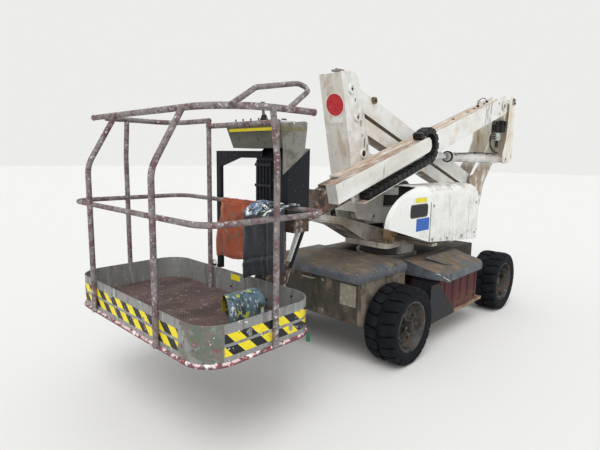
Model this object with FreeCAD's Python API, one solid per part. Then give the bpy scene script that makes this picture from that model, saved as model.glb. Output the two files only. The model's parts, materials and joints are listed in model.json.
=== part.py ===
import FreeCAD, Part
import math
import os

os.makedirs("parts", exist_ok=True)
V = FreeCAD.Vector

# Articulating boom lift, millimetres.
# Machine frame: +X forward to the cage, +Y to the machine's left, +Z up from the ground.
# Every size below is measured from the middle of the wheelbase, on the centre plane.
# CENTRE_X moves the whole machine at export, so that its length is centred on the origin.

# Wheels and axles
WIDTH = 1500.0
WHEELBASE = 1817.0
WHEEL_R = 292.0
TYRE_W = 250.0
RIM_R = 186.0
RIM_WALL = 9.0
TREAD_DEPTH = 18.0
TREAD_PITCHES = 16
TREAD_BLOCK = 16.5
STUB_R = 34.0
AXLE_R = 46.0
KINGPIN_GAP = 75.0
KINGPIN_Y = WIDTH / 2 - TYRE_W - KINGPIN_GAP
KINGPIN_R = 22.0

# Fits
PIN_GAP = 0.3
SIDE_GAP = 5.0

# Chassis
FRAME_HALF_W = 280.0
FRAME_Z = (380.0, 600.0)
FRAME_REAR_X = -1165.0
HOUSING_X = (620.0, 1250.0)
HOUSING_GAP = 12.0
HOUSING_HALF_W = WIDTH / 2 - TYRE_W - HOUSING_GAP
HOUSING_Z = (300.0, 628.0)
HOUSING_WALL = 6.0
LID_TOP = 704.0
POD_X = (-330.0, 410.0)
POD_INSET = 60.0
POD_Y = (420.0, WIDTH / 2 - POD_INSET)
POD_Z = (235.0, 540.0)
POD_LID_OVER = 40.0

# Turret
SLEW_X = 150.0
RING_R = 282.0
DRUM_R = 255.0
RING_Z = (600.0, 662.0)
DRUM_TOP = 742.0
SWIVEL_R = 30.0
DECK_X = (-720.0, 520.0)
DECK_HALF_W = 240.0
DECK_T = 48.0
COVER_Y = (252.0, 500.0)
COVER_REAR_X = -720.0
COVER_SEAM_X = 270.0
COVER_TIP = (905.0, 985.0)
COVER_TOP = 1292.0
COVER_WALL = 6.0

# Folding arms. Each pair is a parallelogram, so the post and the knuckle stay upright.
ARM_Y = (-170.0, -30.0)
ARM_PIN_R = 25.0
LOWER_REAR = (-850.0, 930.0)
LOWER_LEN = 1272.0
LOWER_RISE = 3.2
LOWER_TIE = (-80.0, 220.0)
LOWER_DEPTH = 150.0
LOWER_TIE_DEPTH = 70.0
POST_TOP_PIN = (790.0, 2060.0)
POST_Y = (-215.0, 15.0)
PLATE_T = 12.0
UPPER_LEN = 2600.0
UPPER_DROP = 18.0
UPPER_TIE = (90.0, 215.0)
UPPER_TIE_DEPTH = 165.0
UPPER_DEPTH = 120.0

# Telescopic boom
BOOM_Y = (30.0, 210.0)
BOOM_DEPTH = 205.0
BOOM_WALL = 8.0
BOOM_DROP = 16.6
BOOM_PIVOT = (-1970.0, 2163.0)
BOOM_TAIL = 98.0
OUTER_LEN = 3120.0
INNER_GAP = 7.0
INNER_TAIL = 1120.0
HEAD_OUT = 230.0
HEAD_S = OUTER_LEN + HEAD_OUT
HEAD_X = BOOM_PIVOT[0] + HEAD_S * math.cos(math.radians(BOOM_DROP))
TRAY_BACK = 1109.0
TRAY_OUT = 280.0
TRAY_S = (OUTER_LEN - TRAY_BACK, OUTER_LEN + TRAY_OUT)
TRAY_N = (-10.0, 136.0)
TRAY_Y = (225.0, 318.0)
CHAIN_LINK = 54.0
CHAIN_PITCH = 72.0
CHAIN_LOOP_R = 135.0
CHAIN_CENTRE_N = 53.0

# Cylinders: eye, the lugs either side of a rod's eye, and the barrels' radii
EYE_R = 20.0
EYE_WALL = 10.0
LUG_T = 16.0
LIFT_LUG_OUT = 12.0
LUFF_LUG_OUT = 5.0
LEVEL_LUG_OUT = 10.0
LUFF_BASE = (-2120.0, 1530.0)
LUFF_EYE = (1680.0, -140.0)
LUFF_BORE_R = 50.0
LOWER_CYL_BASE = (-775.0, 772.0)
LOWER_CYL_EYE = (800.0, -122.0)
LOWER_CYL_R = 32.0
UPPER_CYL_BASE = (600.0, 1550.0)
UPPER_CYL_EYE = (1000.0, -95.0)
UPPER_CYL_R = 38.0
LEVEL_HEAD = (160.0, -30.0)
LEVEL_FOOT = (350.0, -466.0)
LEVEL_R = 24.0

# Cage
CAGE_REACH = 709.62
CAGE_LEN = 750.0
CAGE_X = (HEAD_X + CAGE_REACH, HEAD_X + CAGE_REACH + CAGE_LEN)
CAGE_HALF_W = 720.0
CAGE_CORNER = 160.0
CAGE_Z = 552.0
TOE_H = 195.0
TOE_T = 4.0
FLOOR_Z = (572.0, 596.0)
RIM_TUBE_R = 13.0
RAIL_R = 17.0
RAIL_Z = 1740.0
MID_RAIL_Z = 1210.0
BACK_RAIL_DROP = 36.0
BACK_POSTS_Y = (-265.0, 400.0)
RAIL_SETBACK = 165.0
POST_BEND_Z = 1440.0
MAST_GAP = 90.0
MAST_DEPTH = 195.0
MAST_X = (CAGE_X[0] - MAST_GAP - MAST_DEPTH, CAGE_X[0] - MAST_GAP)
MAST_Y = (95.0, 380.0)
MAST_Z0 = 1130.0
COLUMN_Y = (20.0, 165.0)
COLUMN_DEPTH = 90.0
SHELF = (135.0, 90.0)
CONSOLE_Z = 1562.0
DESK_H = 128.0
HOOD_X = (CAGE_X[0] + 100.0, CAGE_X[0] + 370.0)
HOOD_Y = (220.0, 400.0)
HOOD_H = 130.0
BAG_X = (CAGE_X[0] - 43.0, CAGE_X[0] - 2.0)
BAG_Y = (-255.0, 150.0)
BAG_H = 430.0
MAT_X = (CAGE_X[0] + 42.0, CAGE_X[0] + 100.0)
MAT_Y = (165.0, 510.0)
MAT_H = 475.0


KNUCKLE_BACK = 375.0
CENTRE_X = (CAGE_X[1] + BOOM_PIVOT[0] - KNUCKLE_BACK) / 2.0


# Plane geometry in the side view: a point is (x, z)

def polar(start, angle, length):
    a = math.radians(angle)
    return (start[0] + length * math.cos(a), start[1] + length * math.sin(a))


def moved(point, step):
    return (point[0] + step[0], point[1] + step[1])


def on_line(start, angle, along, up):
    """Point along a sloping line, then square to it."""
    return polar(polar(start, angle, along), angle + 90.0, up)


def boom_point(s, n):
    """Point s along the boom from its pivot and n above its centre line."""
    return on_line(BOOM_PIVOT, -BOOM_DROP, s, n)


def flats(radius):
    """Angle that one short flat stands for on a round corner, in degrees."""
    return 30.0 if radius < 60.0 else 22.5 if radius < 200.0 else 12.0


def rounded(corners):
    """Points of a closed outline; a corner is (a, b) or (a, b, radius)."""
    points = []
    for i in range(len(corners)):
        here, before, after = corners[i], corners[i - 1], corners[(i + 1) % len(corners)]
        p = V(here[0], here[1], 0)
        d1 = (p - V(before[0], before[1], 0)).normalize()
        d2 = (V(after[0], after[1], 0) - p).normalize()
        radius = here[2] if len(here) > 2 else 0.0
        turn = d1.getAngle(d2)
        if radius <= 0.0 or turn < 1e-4:
            points.append(p)
            continue
        start = p - d1 * (radius * math.tan(turn / 2.0))
        inward = (d2 - d1 * d1.dot(d2)).normalize()
        steps = max(1, math.ceil(math.degrees(turn) / flats(radius)))
        for k in range(steps + 1):
            a = turn * k / steps
            points.append(start + d1 * (radius * math.sin(a)) + inward * (radius * (1.0 - math.cos(a))))
    return [q for i, q in enumerate(points) if (q - points[i - 1]).Length > 1e-6]


def outline(corners, lift):
    points = [lift(p) for p in rounded(corners)]
    return Part.makePolygon(points + points[:1])


def plate(corners, y0, y1):
    """Side-view outline (x, z), as thick as y0 to y1."""
    wire = outline(corners, lambda p: V(p.x, y0, p.y))
    return Part.Face(wire).extrude(V(0, y1 - y0, 0))


def slab(corners, z0, z1):
    """Plan outline (x, y), as high as z0 to z1."""
    wire = outline(corners, lambda p: V(p.x, p.y, z0))
    return Part.Face(wire).extrude(V(0, 0, z1 - z0))


def section(corners, x0, x1):
    """Cross-section outline (y, z), as long as x0 to x1."""
    wire = outline(corners, lambda p: V(x0, p.x, p.y))
    return Part.Face(wire).extrude(V(x1 - x0, 0, 0))


def box(x, y, z):
    return Part.makeBox(x[1] - x[0], y[1] - y[0], z[1] - z[0], V(x[0], y[0], z[0]))


def sides(r):
    """How many flats stand for a round bar of this radius."""
    return 8 if r <= 31.0 else 10 if r <= 62.0 else 16 if r <= 150.0 else 30


def closed_body(faces):
    """Solid from the corner lists of its flat faces."""
    skin = Part.makeShell([Part.Face(Part.makePolygon(f + f[:1])) for f in faces])
    skin.sewShape()
    body = Part.Solid(skin.Shells[0])
    return body if body.Volume > 0 else Part.Solid(skin.Shells[0].reversed())


def rod(a, b, r, count=0):
    """Round bar between two points, with short flats round it."""
    a, b = V(*a), V(*b)
    d = (b - a).normalize()
    across = d.cross(V(0, 1, 0)) if abs(d.y) < 0.9 else d.cross(V(0, 0, 1))
    u = across.normalize()
    w = d.cross(u)
    n = count or sides(r)
    turns = [2.0 * math.pi * k / n for k in range(n)]
    points = [a + u * (r * math.cos(t)) + w * (r * math.sin(t)) for t in turns]
    return Part.Face(Part.makePolygon(points + points[:1])).extrude(b - a)


def disc(point, r, y0, y1):
    """Short round bar across the machine at a side-view point."""
    return rod((point[0], y0, point[1]), (point[0], y1, point[1]), r)


def drill(point, r, y0, y1):
    """True cylinder across the machine, for bores."""
    return Part.makeCylinder(r, y1 - y0, V(point[0], y0, point[1]), V(0, 1, 0))


def ring(point, r_out, r_in, y0, y1):
    return disc(point, r_out, y0, y1).cut(disc(point, r_in, y0 - 1, y1 + 1))


def upright(x, y, r, z0, z1):
    return rod((x, y, z0), (x, y, z1), r)


def side_point(point, y):
    return (point[0], y, point[1])


def link(a, b, depth, y0, y1):
    """Straight bar with round ends between two side-view points."""
    angle = math.degrees(math.atan2(b[1] - a[1], b[0] - a[0]))
    length = math.hypot(b[0] - a[0], b[1] - a[1])
    corners = [on_line(a, angle, 0, -depth / 2), on_line(a, angle, length, -depth / 2),
               on_line(a, angle, length, depth / 2), on_line(a, angle, 0, depth / 2)]
    bar = plate(corners, y0, y1)
    return bar.fuse([disc(a, depth / 2, y0, y1), disc(b, depth / 2, y0, y1)]).removeSplitter()


def bored(shape, point, r):
    """Bore that a pin turns in."""
    return shape.cut(drill(point, r, -900, 900))


def eye_lugs(root, eye, depth, y, reach):
    """Two lugs either side of a rod's eye, then the two heads of its pin outside them."""
    pieces = []
    for s in (1, -1):
        pieces.append(link(root, eye, depth, y + s * reach - LUG_T / 2, y + s * reach + LUG_T / 2))
    for s in (1, -1):
        inner, outer = y + s * (reach + LUG_T / 2 - 1), y + s * (reach + LUG_T / 2 + 5)
        pieces.append(disc(eye, EYE_R, min(inner, outer), max(inner, outer)))
    return pieces


def eyed(shape, point, r):
    """Plain hole of a far eye, as wide between its flats as the pin with its gap."""
    return shape.cut(disc(point, r / math.cos(math.pi / sides(r)), -900, 900))


def union(shapes):
    return shapes[0].fuse(shapes[1:]).removeSplitter() if len(shapes) > 1 else shapes[0]


def bent_path(points, bend, closed):
    """Path through points with its corners turned into short straight runs."""
    pts = [V(*p) for p in points]
    path = []
    for i, p in enumerate(pts):
        if not closed and i in (0, len(pts) - 1):
            path.append(p)
            continue
        d1 = (p - pts[i - 1]).normalize()
        d2 = (pts[(i + 1) % len(pts)] - p).normalize()
        turn = d1.getAngle(d2)
        if turn < 1e-3 or bend <= 0.0:
            path.append(p)
            continue
        start = p - d1 * (bend * math.tan(turn / 2.0))
        inward = (d2 - d1 * d1.dot(d2)).normalize()
        steps = max(1, math.ceil(math.degrees(turn) / flats(bend)))
        for k in range(steps + 1):
            a = turn * k / steps
            path.append(start + d1 * (bend * math.sin(a)) + inward * (bend * (1.0 - math.cos(a))))
    return path


def pipe(points, r, bend=0.0, closed=False, count=6):
    """Tube through points, six flats round, mitred at each short run of its bends."""
    path = bent_path(points, bend, closed)
    total = len(path)
    runs = [(path[(i + 1) % total] - path[i]).normalize() for i in range(total if closed else total - 1)]
    first = runs[0]
    u = first.cross(V(0, 0, 1)) if abs(first.z) < 0.9 else first.cross(V(0, 1, 0))
    u = u.normalize()
    w = first.cross(u)
    start = [u * (r * math.cos(t)) + w * (r * math.sin(t))
             for t in (2.0 * math.pi * (k + 0.5) / count for k in range(count))]
    rings = []
    if closed:
        cut = (runs[-1] + runs[0]).normalize()
        start = [q - first * (q.dot(cut) / first.dot(cut)) for q in start]
    rings.append([path[0] + q for q in start])
    for i in range(1, total):
        run = runs[i - 1]
        cut = (runs[i - 1] + runs[i]).normalize() if i < len(runs) else run
        rings.append([q + run * ((path[i] - q).dot(cut) / run.dot(cut)) for q in rings[-1]])
    faces = []
    for i in range(total if closed else total - 1):
        a, b = rings[i], rings[(i + 1) % total]
        faces += [[a[k], a[(k + 1) % count], b[(k + 1) % count], b[k]] for k in range(count)]
    if not closed:
        faces += [rings[0], rings[-1]]
    return closed_body(faces)


def mirror_y(shape):
    return shape.mirror(V(0, 0, 0), V(0, 1, 0))


def put(name, shape):
    placed = shape.copy()
    placed.translate(V(-CENTRE_X, 0, 0))
    placed.exportStep("parts/%s.step" % name)


# Pivots in the side view
LOWER_FRONT = polar(LOWER_REAR, LOWER_RISE, LOWER_LEN)
LOWER_TIE_REAR = moved(LOWER_REAR, LOWER_TIE)
LOWER_TIE_FRONT = moved(LOWER_FRONT, LOWER_TIE)
UPPER_TIE_FRONT = POST_TOP_PIN
UPPER_FRONT = moved(POST_TOP_PIN, (-UPPER_TIE[0], -UPPER_TIE[1]))
UPPER_ANGLE = 180.0 + UPPER_DROP
UPPER_REAR = polar(UPPER_FRONT, UPPER_ANGLE, UPPER_LEN)
UPPER_TIE_REAR = polar(UPPER_TIE_FRONT, UPPER_ANGLE, UPPER_LEN)
LUFF_EYE_POINT = boom_point(*LUFF_EYE)
LOWER_EYE_POINT = on_line(LOWER_REAR, LOWER_RISE, *LOWER_CYL_EYE)
UPPER_EYE_POINT = polar(polar(UPPER_FRONT, UPPER_ANGLE, UPPER_CYL_EYE[0]),
                        UPPER_ANGLE + 90.0, -UPPER_CYL_EYE[1])
HEAD = boom_point(HEAD_S, 0.0)
LEVEL_HEAD_POINT = moved(HEAD, LEVEL_HEAD)
LEVEL_FOOT_POINT = moved(HEAD, LEVEL_FOOT)
ARM_MID_Y = (ARM_Y[0] + ARM_Y[1]) / 2.0
BOOM_MID_Y = (BOOM_Y[0] + BOOM_Y[1]) / 2.0
AXLE_X = {"front": WHEELBASE / 2.0, "rear": -WHEELBASE / 2.0}
WHEEL_IN_Y = WIDTH / 2.0 - TYRE_W


# Wheels

def on_wheel(y, r, degrees):
    a = math.radians(degrees)
    return V(r * math.cos(a), y, r * math.sin(a))


def tyre():
    """Tyre about the Y axis at the origin, from its inner face at y 0 outwards."""
    w, r = TYRE_W, WHEEL_R
    low = r - TREAD_DEPTH
    wall = [(0.90 * w, RIM_R), (0.10 * w, RIM_R), (0.0, RIM_R + 0.5 * (r - RIM_R)), (0.03 * w, r - 30.0)]
    other = [(w - y, q) for y, q in reversed(wall[1:])]
    block = [(0.05 * w, r - 8.0), (0.13 * w, r), (0.45 * w, r), (0.45 * w, low)]
    block += [(w - y, q) for y, q in reversed(block)]
    groove = [(0.12 * w, low), (0.45 * w, low), (0.55 * w, low), (0.88 * w, low)]
    wall_side = [wall[-1]] + block[:4] + groove[:1]
    faces = []
    pitch = 360.0 / TREAD_PITCHES
    for k in range(TREAD_PITCHES):
        a, b, c = -90.0 + k * pitch, -90.0 + k * pitch + TREAD_BLOCK, -90.0 + (k + 1) * pitch
        raised = wall + block + other
        for i in range(len(raised) - 1):
            p, q = raised[i], raised[i + 1]
            faces.append([on_wheel(*p, a), on_wheel(*q, a), on_wheel(*q, b), on_wheel(*p, b)])
        sunk = wall + groove[:1]
        for run in (sunk, [(w - y, q) for y, q in sunk]):
            for i in range(1 if run is not sunk else 0, len(run) - 1):
                p, q = run[i], run[i + 1]
                faces.append([on_wheel(*p, b), on_wheel(*q, b), on_wheel(*q, c), on_wheel(*p, c)])
        faces.append([on_wheel(*p, b) for p in groove] + [on_wheel(*p, c) for p in reversed(groove)])
        for angle in (b, c):
            faces.append([on_wheel(*p, angle) for p in wall_side])
            faces.append([on_wheel(w - p[0], p[1], angle) for p in wall_side])
    return closed_body(faces)


def rim(dish):
    """Steel rim with its disc set in by dish from the outer face."""
    w, r, t = TYRE_W, RIM_R - 2.0, RIM_WALL
    bore = STUB_R + PIN_GAP
    profile = [(0.08 * w, r), (0.92 * w, r), (0.92 * w, r - t), (w - dish, r - 2.2 * t),
               (w - dish, STUB_R + 56), (w - dish + 22, STUB_R + 44), (w - dish + 22, bore - 2),
               (w - dish - 12, bore - 2), (w - dish - 12, r - 2.2 * t - 10), (0.08 * w, r - t)]
    count = 16
    faces = []
    for k in range(count):
        a, b = k * 360.0 / count, (k + 1) * 360.0 / count
        for i in range(len(profile)):
            p, q = profile[i], profile[(i + 1) % len(profile)]
            faces.append([on_wheel(*p, a), on_wheel(*q, a), on_wheel(*q, b), on_wheel(*p, b)])
    return bored(closed_body(faces), (0, 0), bore)


FRONT_DISH = 78.0
REAR_DISH = 118.0


def wheel(axle, dish):
    at = V(AXLE_X[axle], WHEEL_IN_Y, WHEEL_R)
    for side, turn in (("left", False), ("right", True)):
        for part, shape in (("tyre", tyre()), ("rim", rim(dish))):
            placed = shape.copy()
            placed.translate(at)
            if turn:
                placed = mirror_y(placed)
            put("%s_%s_%s" % (part, axle, side), placed)


# Chassis

def chassis_frame():
    z0, z1 = FRAME_Z
    front = HOUSING_X[1] - HOUSING_WALL
    beam = plate([(FRAME_REAR_X, z0 + 60, 20), (FRAME_REAR_X, z1, 20), (front, z1), (front, z0),
                  (AXLE_X["rear"] - 130, z0)], -FRAME_HALF_W, FRAME_HALF_W)
    pedestal = upright(SLEW_X, 0, RING_R + 30, z1 - 1, RING_Z[0] + 12)
    shelf = box((POD_X[0] + 40, POD_X[1] - 40), (-POD_Y[0], POD_Y[0]), (z0 + 20, z0 + 60))
    axle_seat = box((AXLE_X["rear"] - 60, AXLE_X["rear"] + 60), (-90, 90),
                    (WHEEL_R + AXLE_R + 14, z0 + 2))
    lug = plate([(FRAME_REAR_X - 46, z0 + 90, 20), (FRAME_REAR_X - 46, z0 + 150, 20),
                 (FRAME_REAR_X + 5, z0 + 170), (FRAME_REAR_X + 5, z0 + 80)], -18, 18)
    lug = bored(lug, (FRAME_REAR_X - 24, z0 + 120), 13)
    return union([beam, pedestal, axle_seat, lug, shelf])


def front_housing():
    x0, x1 = HOUSING_X
    z0, z1 = HOUSING_Z
    w, t = HOUSING_HALF_W, HOUSING_WALL
    outer = plate([(x0, z0 + 90), (x0, z1), (x1, z1, 6), (x1, z0 + 20, 30), (x1 - 60, z0, 20), (x0 + 90, z0)],
                  -w, w)
    inner = plate([(x0 - 5, z0 + 96), (x0 - 5, z1 + 5), (x1 - t, z1 + 5), (x1 - t, z0 + 24, 24),
                   (x1 - 62, z0 + t), (x0 + 92, z0 + t)], -w + t, w - t)
    shell = outer.cut(inner)
    shell = shell.cut(box((x0 - 10, x0 + 200), (-FRAME_HALF_W - 3, FRAME_HALF_W + 3), (z0 - 5, z1 + 5)))
    arch = disc((AXLE_X["front"], WHEEL_R), AXLE_R + 30, -w - 5, w + 5)
    slot = box((AXLE_X["front"] - AXLE_R - 30, AXLE_X["front"] + AXLE_R + 30), (-w - 5, w + 5),
               (z0 - 60, WHEEL_R))
    return shell.cut(arch).cut(slot)


def front_lid():
    x0, x1 = HOUSING_X[0] - 12, HOUSING_X[1] + 16
    w = HOUSING_HALF_W + 10
    top = section([(-w, HOUSING_Z[1]), (-w, LID_TOP - 30, 34), (-w + 60, LID_TOP, 34), (w - 60, LID_TOP, 34),
                   (w, LID_TOP - 30, 34), (w, HOUSING_Z[1])], x0, x1)
    side = plate([(x0, HOUSING_Z[1] - 5), (x0, LID_TOP + 1, 24), (x1 - 60, LID_TOP + 1, 34),
                  (x1, LID_TOP - 34, 34), (x1, HOUSING_Z[1] - 5)], -w - 5, w + 5)
    return top.common(side)


def pod(side):
    x, y, z = POD_X, POD_Y, POD_Z
    body = box(x, y, z)
    rib = [box((x[0] + 40 + i * 150.0, x[0] + 52 + i * 150.0), (y[1], y[1] + 6), (z[0] + 30, z[1] - 40))
           for i in range(5)]
    shape = union([body] + rib)
    return shape if side > 0 else mirror_y(shape)


def pod_lid(side):
    x0, x1 = POD_X[0] - POD_LID_OVER, POD_X[1] + POD_LID_OVER
    y0, y1 = FRAME_HALF_W + 38, POD_Y[1] + POD_LID_OVER + 12
    z = POD_Z[1]
    roof = section([(y0, z), (y0, z + 118, 20), (y0 + 60, z + 124, 30), (y1 - 30, z + 58, 30),
                    (y1, z + 40, 18), (y1, z - 14), (y1 - 12, z - 14), (y1 - 12, z)], x0, x1)
    ends = slab([(x0, y0 - 5), (x1 + 5, y0 - 5), (x1, y1 - 90, 60), (x1 - 60, y1, 50), (x0 + 40, y1 + 1, 60),
                 (x0, y1 - 70, 50)], z - 40, z + 200)
    shape = roof.common(ends)
    return shape if side > 0 else mirror_y(shape)


def pod_sill(side):
    """Step plate under the battery box and the skirt behind the front wheel."""
    y1 = POD_Y[1] + 12
    step = box((POD_X[0] - 110, POD_X[1] - 200), (POD_Y[0] + 30, y1), (POD_Z[0] - 28, POD_Z[0] - 2))
    skirt = plate([(WHEELBASE / 2 - WHEEL_R - 40, POD_Z[1] - 16), (POD_X[1] + 38, POD_Z[1] - 16),
                   (POD_X[0] + 440, POD_Z[0] - 28), (WHEELBASE / 2 - WHEEL_R - 40, POD_Z[0] - 28)],
                  POD_Y[1] + 8, y1)
    foot = box((POD_X[0] + 430, WHEELBASE / 2 - WHEEL_R - 40), (POD_Y[0] + 30, y1),
               (POD_Z[0] - 28, POD_Z[0] - 20))
    web = box((POD_X[0] + 20, POD_X[1] - 200), (POD_Y[0] + 40, POD_Y[0] + 60), (POD_Z[0] - 3, POD_Z[0]))
    post = box((POD_X[1], POD_X[1] + 12), (POD_Y[0] + 30, y1), (POD_Z[0] - 28, POD_Z[1] - 16))
    shape = union([step, foot, skirt, post, web])
    return shape if side > 0 else mirror_y(shape)


def front_axle():
    at = (AXLE_X["front"], WHEEL_R)
    tube = disc(at, AXLE_R, -WHEEL_IN_Y + 8, WHEEL_IN_Y - 8)
    mid = disc(at, AXLE_R + 22, -95, 95)
    seat = box((at[0] - 50, at[0] + 50), (-190, 190), (WHEEL_R, FRAME_Z[0]))
    hubs = [disc(at, 92, s * (WHEEL_IN_Y - 6) - 4, s * (WHEEL_IN_Y - 6) + 4) for s in (1, -1)]
    reach = WIDTH / 2 - FRONT_DISH + 30
    stub = disc(at, STUB_R, -reach, reach)
    return union([tube, mid, seat, stub] + hubs)


def rear_axle():
    at = (AXLE_X["rear"], WHEEL_R)
    beam = box((at[0] - 48, at[0] + 48), (-KINGPIN_Y + 30, KINGPIN_Y - 30), (WHEEL_R - 44, WHEEL_R + 44))
    seat = box((at[0] - 58, at[0] + 58), (-80, 80), (WHEEL_R + 40, WHEEL_R + AXLE_R + 14))
    eyes = [upright(at[0], s * KINGPIN_Y, 46, WHEEL_R - 50, WHEEL_R + 50) for s in (1, -1)]
    cylinder = rod((at[0] - 95, -190, WHEEL_R), (at[0] - 95, 190, WHEEL_R), 30)
    mount = box((at[0] - 95, at[0] - 40), (-40, 40), (WHEEL_R - 22, WHEEL_R + 22))
    shape = union([beam, seat, cylinder, mount] + eyes)
    for s in (1, -1):
        shape = shape.cut(Part.makeCylinder(KINGPIN_R + PIN_GAP, 800, V(at[0], s * KINGPIN_Y, 0)))
    return shape


def steer_knuckle(side):
    x, y = AXLE_X["rear"], KINGPIN_Y
    pin = upright(x, y, KINGPIN_R, WHEEL_R - 88, WHEEL_R + 88)
    arms = [slab([(x - 42, y - 42, 40), (x + 42, y - 42, 40), (x + 42, y + 62), (x - 42, y + 62)],
                 WHEEL_R + s * 70 - 17, WHEEL_R + s * 70 + 17) for s in (1, -1)]
    back = box((x - 42, x + 42), (y + 48, y + 62), (WHEEL_R - 87, WHEEL_R + 87))
    stub = disc((x, WHEEL_R), STUB_R, y + 50, WIDTH / 2 - REAR_DISH + 30)
    shape = union([pin, back, stub] + arms)
    return shape if side > 0 else mirror_y(shape)


def slew_ring():
    return upright(SLEW_X, 0, RING_R, RING_Z[0] + 12, RING_Z[1])


# Turret

DECK_Z = (DRUM_TOP, DRUM_TOP + DECK_T)


def nose_outline():
    """Sloping nose in front of the deck, on which the folded post rests."""
    return [(60, DECK_Z[1] - 2), (DECK_X[1], DECK_Z[1] - 2), (880, 968), (880, 1036), (130, 838)]


def turret_base():
    z0, z1 = DECK_Z
    deck = slab([(DECK_X[0], -DECK_HALF_W, 40), (DECK_X[1], -DECK_HALF_W, 60), (DECK_X[1], DECK_HALF_W, 60),
                 (DECK_X[0], DECK_HALF_W, 40)], z0, z1)
    reach = COVER_Y[1] - COVER_WALL
    outriggers = [box((x, x + 90), (-reach, reach), (z0 + 20, z1 - 6)) for x in (-640.0, -240.0, 110.0)]
    slot = box((DECK_X[0] - 5, -250), (ARM_MID_Y - 52, ARM_MID_Y + 52), (z0 - 5, z1 + 5))
    nose = [plate(nose_outline(), y - PLATE_T / 2, y + PLATE_T / 2) for y in (POST_Y[0], POST_Y[1])]
    floor = plate([(DECK_X[1] - 10, z1 - 4), (880, 968), (880, 978), (DECK_X[1] - 10, z1 + 8)],
                  POST_Y[0], POST_Y[1])
    pad = plate([(780, 1006), (876, 1030), (876, 980), (780, 956)], POST_Y[0], POST_Y[1])
    base = LOWER_CYL_BASE
    cheek = [(LOWER_REAR[0] + 330, z1 - 2), (base[0] + 70, base[1] - 48), (base[0] - 40, base[1] - 48, 30),
             (LOWER_REAR[0] - 90, LOWER_REAR[1] - 40, 40),
             (LOWER_TIE_REAR[0] - 52, LOWER_TIE_REAR[1] + 40, 40),
             (LOWER_TIE_REAR[0] + 44, LOWER_TIE_REAR[1] + 44, 40),
             (LOWER_REAR[0] + 70, LOWER_REAR[1] + 40, 40)]
    cheeks = [plate(cheek, y - PLATE_T / 2, y + PLATE_T / 2) for y in (POST_Y[0], POST_Y[1])]
    pins = [disc(p, ARM_PIN_R, POST_Y[0] - 14, POST_Y[1] + 14) for p in (LOWER_REAR, LOWER_TIE_REAR)]
    pin = disc(base, EYE_R, POST_Y[0] - 12, POST_Y[1] + 12)
    return union([union([deck] + outriggers).cut(slot), floor, pad, pin] + nose + cheeks + pins)


def slew_drum():
    """Drum between the slew ring and the deck, with the swivel's bore on the slew axis."""
    drum = upright(SLEW_X, 0, DRUM_R, RING_Z[1] + 2, DRUM_TOP)
    return drum.cut(Part.makeCylinder(SWIVEL_R, 200, V(SLEW_X, 0, RING_Z[1] - 50)))


def slew_motor():
    x, y = DECK_X[1] - 60, DECK_HALF_W - 20
    gearbox = upright(x, y, 52, DECK_Z[1], DECK_Z[1] + 60)
    motor = rod((x - 70, y + 12, DECK_Z[1] + 90), (x + 70, y + 12, DECK_Z[1] + 90), 42)
    flange = rod((x + 50, y + 12, DECK_Z[1] + 90), (x + 62, y + 12, DECK_Z[1] + 90), 56)
    return union([gearbox, motor, flange])


def cover_outline(inset=0.0):
    """Side outline of a turret cover: quarter-round nose, flat top, round tail."""
    i = inset
    return [(COVER_REAR_X + i, 728 + i, 40), (COVER_REAR_X + i, COVER_TOP - i, 190 - i),
            (COVER_TIP[0] - 300, COVER_TOP - i, 300 - i), (COVER_TIP[0] - i, COVER_TIP[1] + i, 10),
            (COVER_SEAM_X, 812 + i)]


def cover(side):
    y0, y1 = COVER_Y
    t = COVER_WALL

    def panel(corners, a, b):
        return plate(corners, min(side * a, side * b), max(side * a, side * b))

    def across(corners, a, b):
        return section([(side * c[0],) + tuple(c[1:]) for c in corners], a, b)

    outer = panel(cover_outline(), y0, y1)
    soften = across([(y0 - 5, 700), (y0 - 5, COVER_TOP + 1), (y1 - 10, COVER_TOP + 1, 90),
                     (y1, COVER_TOP - 160, 60), (y1, 700)], COVER_REAR_X - 5, COVER_TIP[0] + 5)
    outer = outer.common(soften)
    inner = panel(cover_outline(t), y0 - 5, y1 - t)
    inner_soft = across([(y0 - 6, 690), (y0 - 6, COVER_TOP - t), (y1 - 14, COVER_TOP - t, 86),
                         (y1 - t, COVER_TOP - 164, 56), (y1 - t, 690)], COVER_REAR_X + 1, COVER_TIP[0] - 1)
    bottom = panel([(COVER_REAR_X + t, 700), (COVER_REAR_X + t, 790), (COVER_SEAM_X, 830),
                    (COVER_TIP[0] - 60, COVER_TIP[1] - 4), (COVER_SEAM_X, 700)], y0 - 5, y1 - t)
    return outer.cut(inner.common(inner_soft)).cut(bottom)


def power_unit():
    """Engine block behind the right cover, a closed mass."""
    return box((-560.0, 120.0), (-440.0, -268.0), (DECK_Z[1] - 6, 1120.0))


# Folding arms

def lower_arm():
    arm = link(LOWER_REAR, LOWER_FRONT, LOWER_DEPTH, *ARM_Y)
    root = on_line(LOWER_REAR, LOWER_RISE, LOWER_CYL_EYE[0], -LOWER_DEPTH / 2 + 30)
    lugs = eye_lugs(root, LOWER_EYE_POINT, 56, ARM_MID_Y, LOWER_CYL_R + LIFT_LUG_OUT)
    shape = union([arm] + lugs)
    for p in (LOWER_REAR, LOWER_FRONT):
        shape = bored(shape, p, ARM_PIN_R + PIN_GAP)
    return shape


def tie(a, b, depth):
    shape = link(a, b, depth, *ARM_Y)
    return eyed(bored(shape, a, ARM_PIN_R + PIN_GAP), b, ARM_PIN_R + PIN_GAP)


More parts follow.
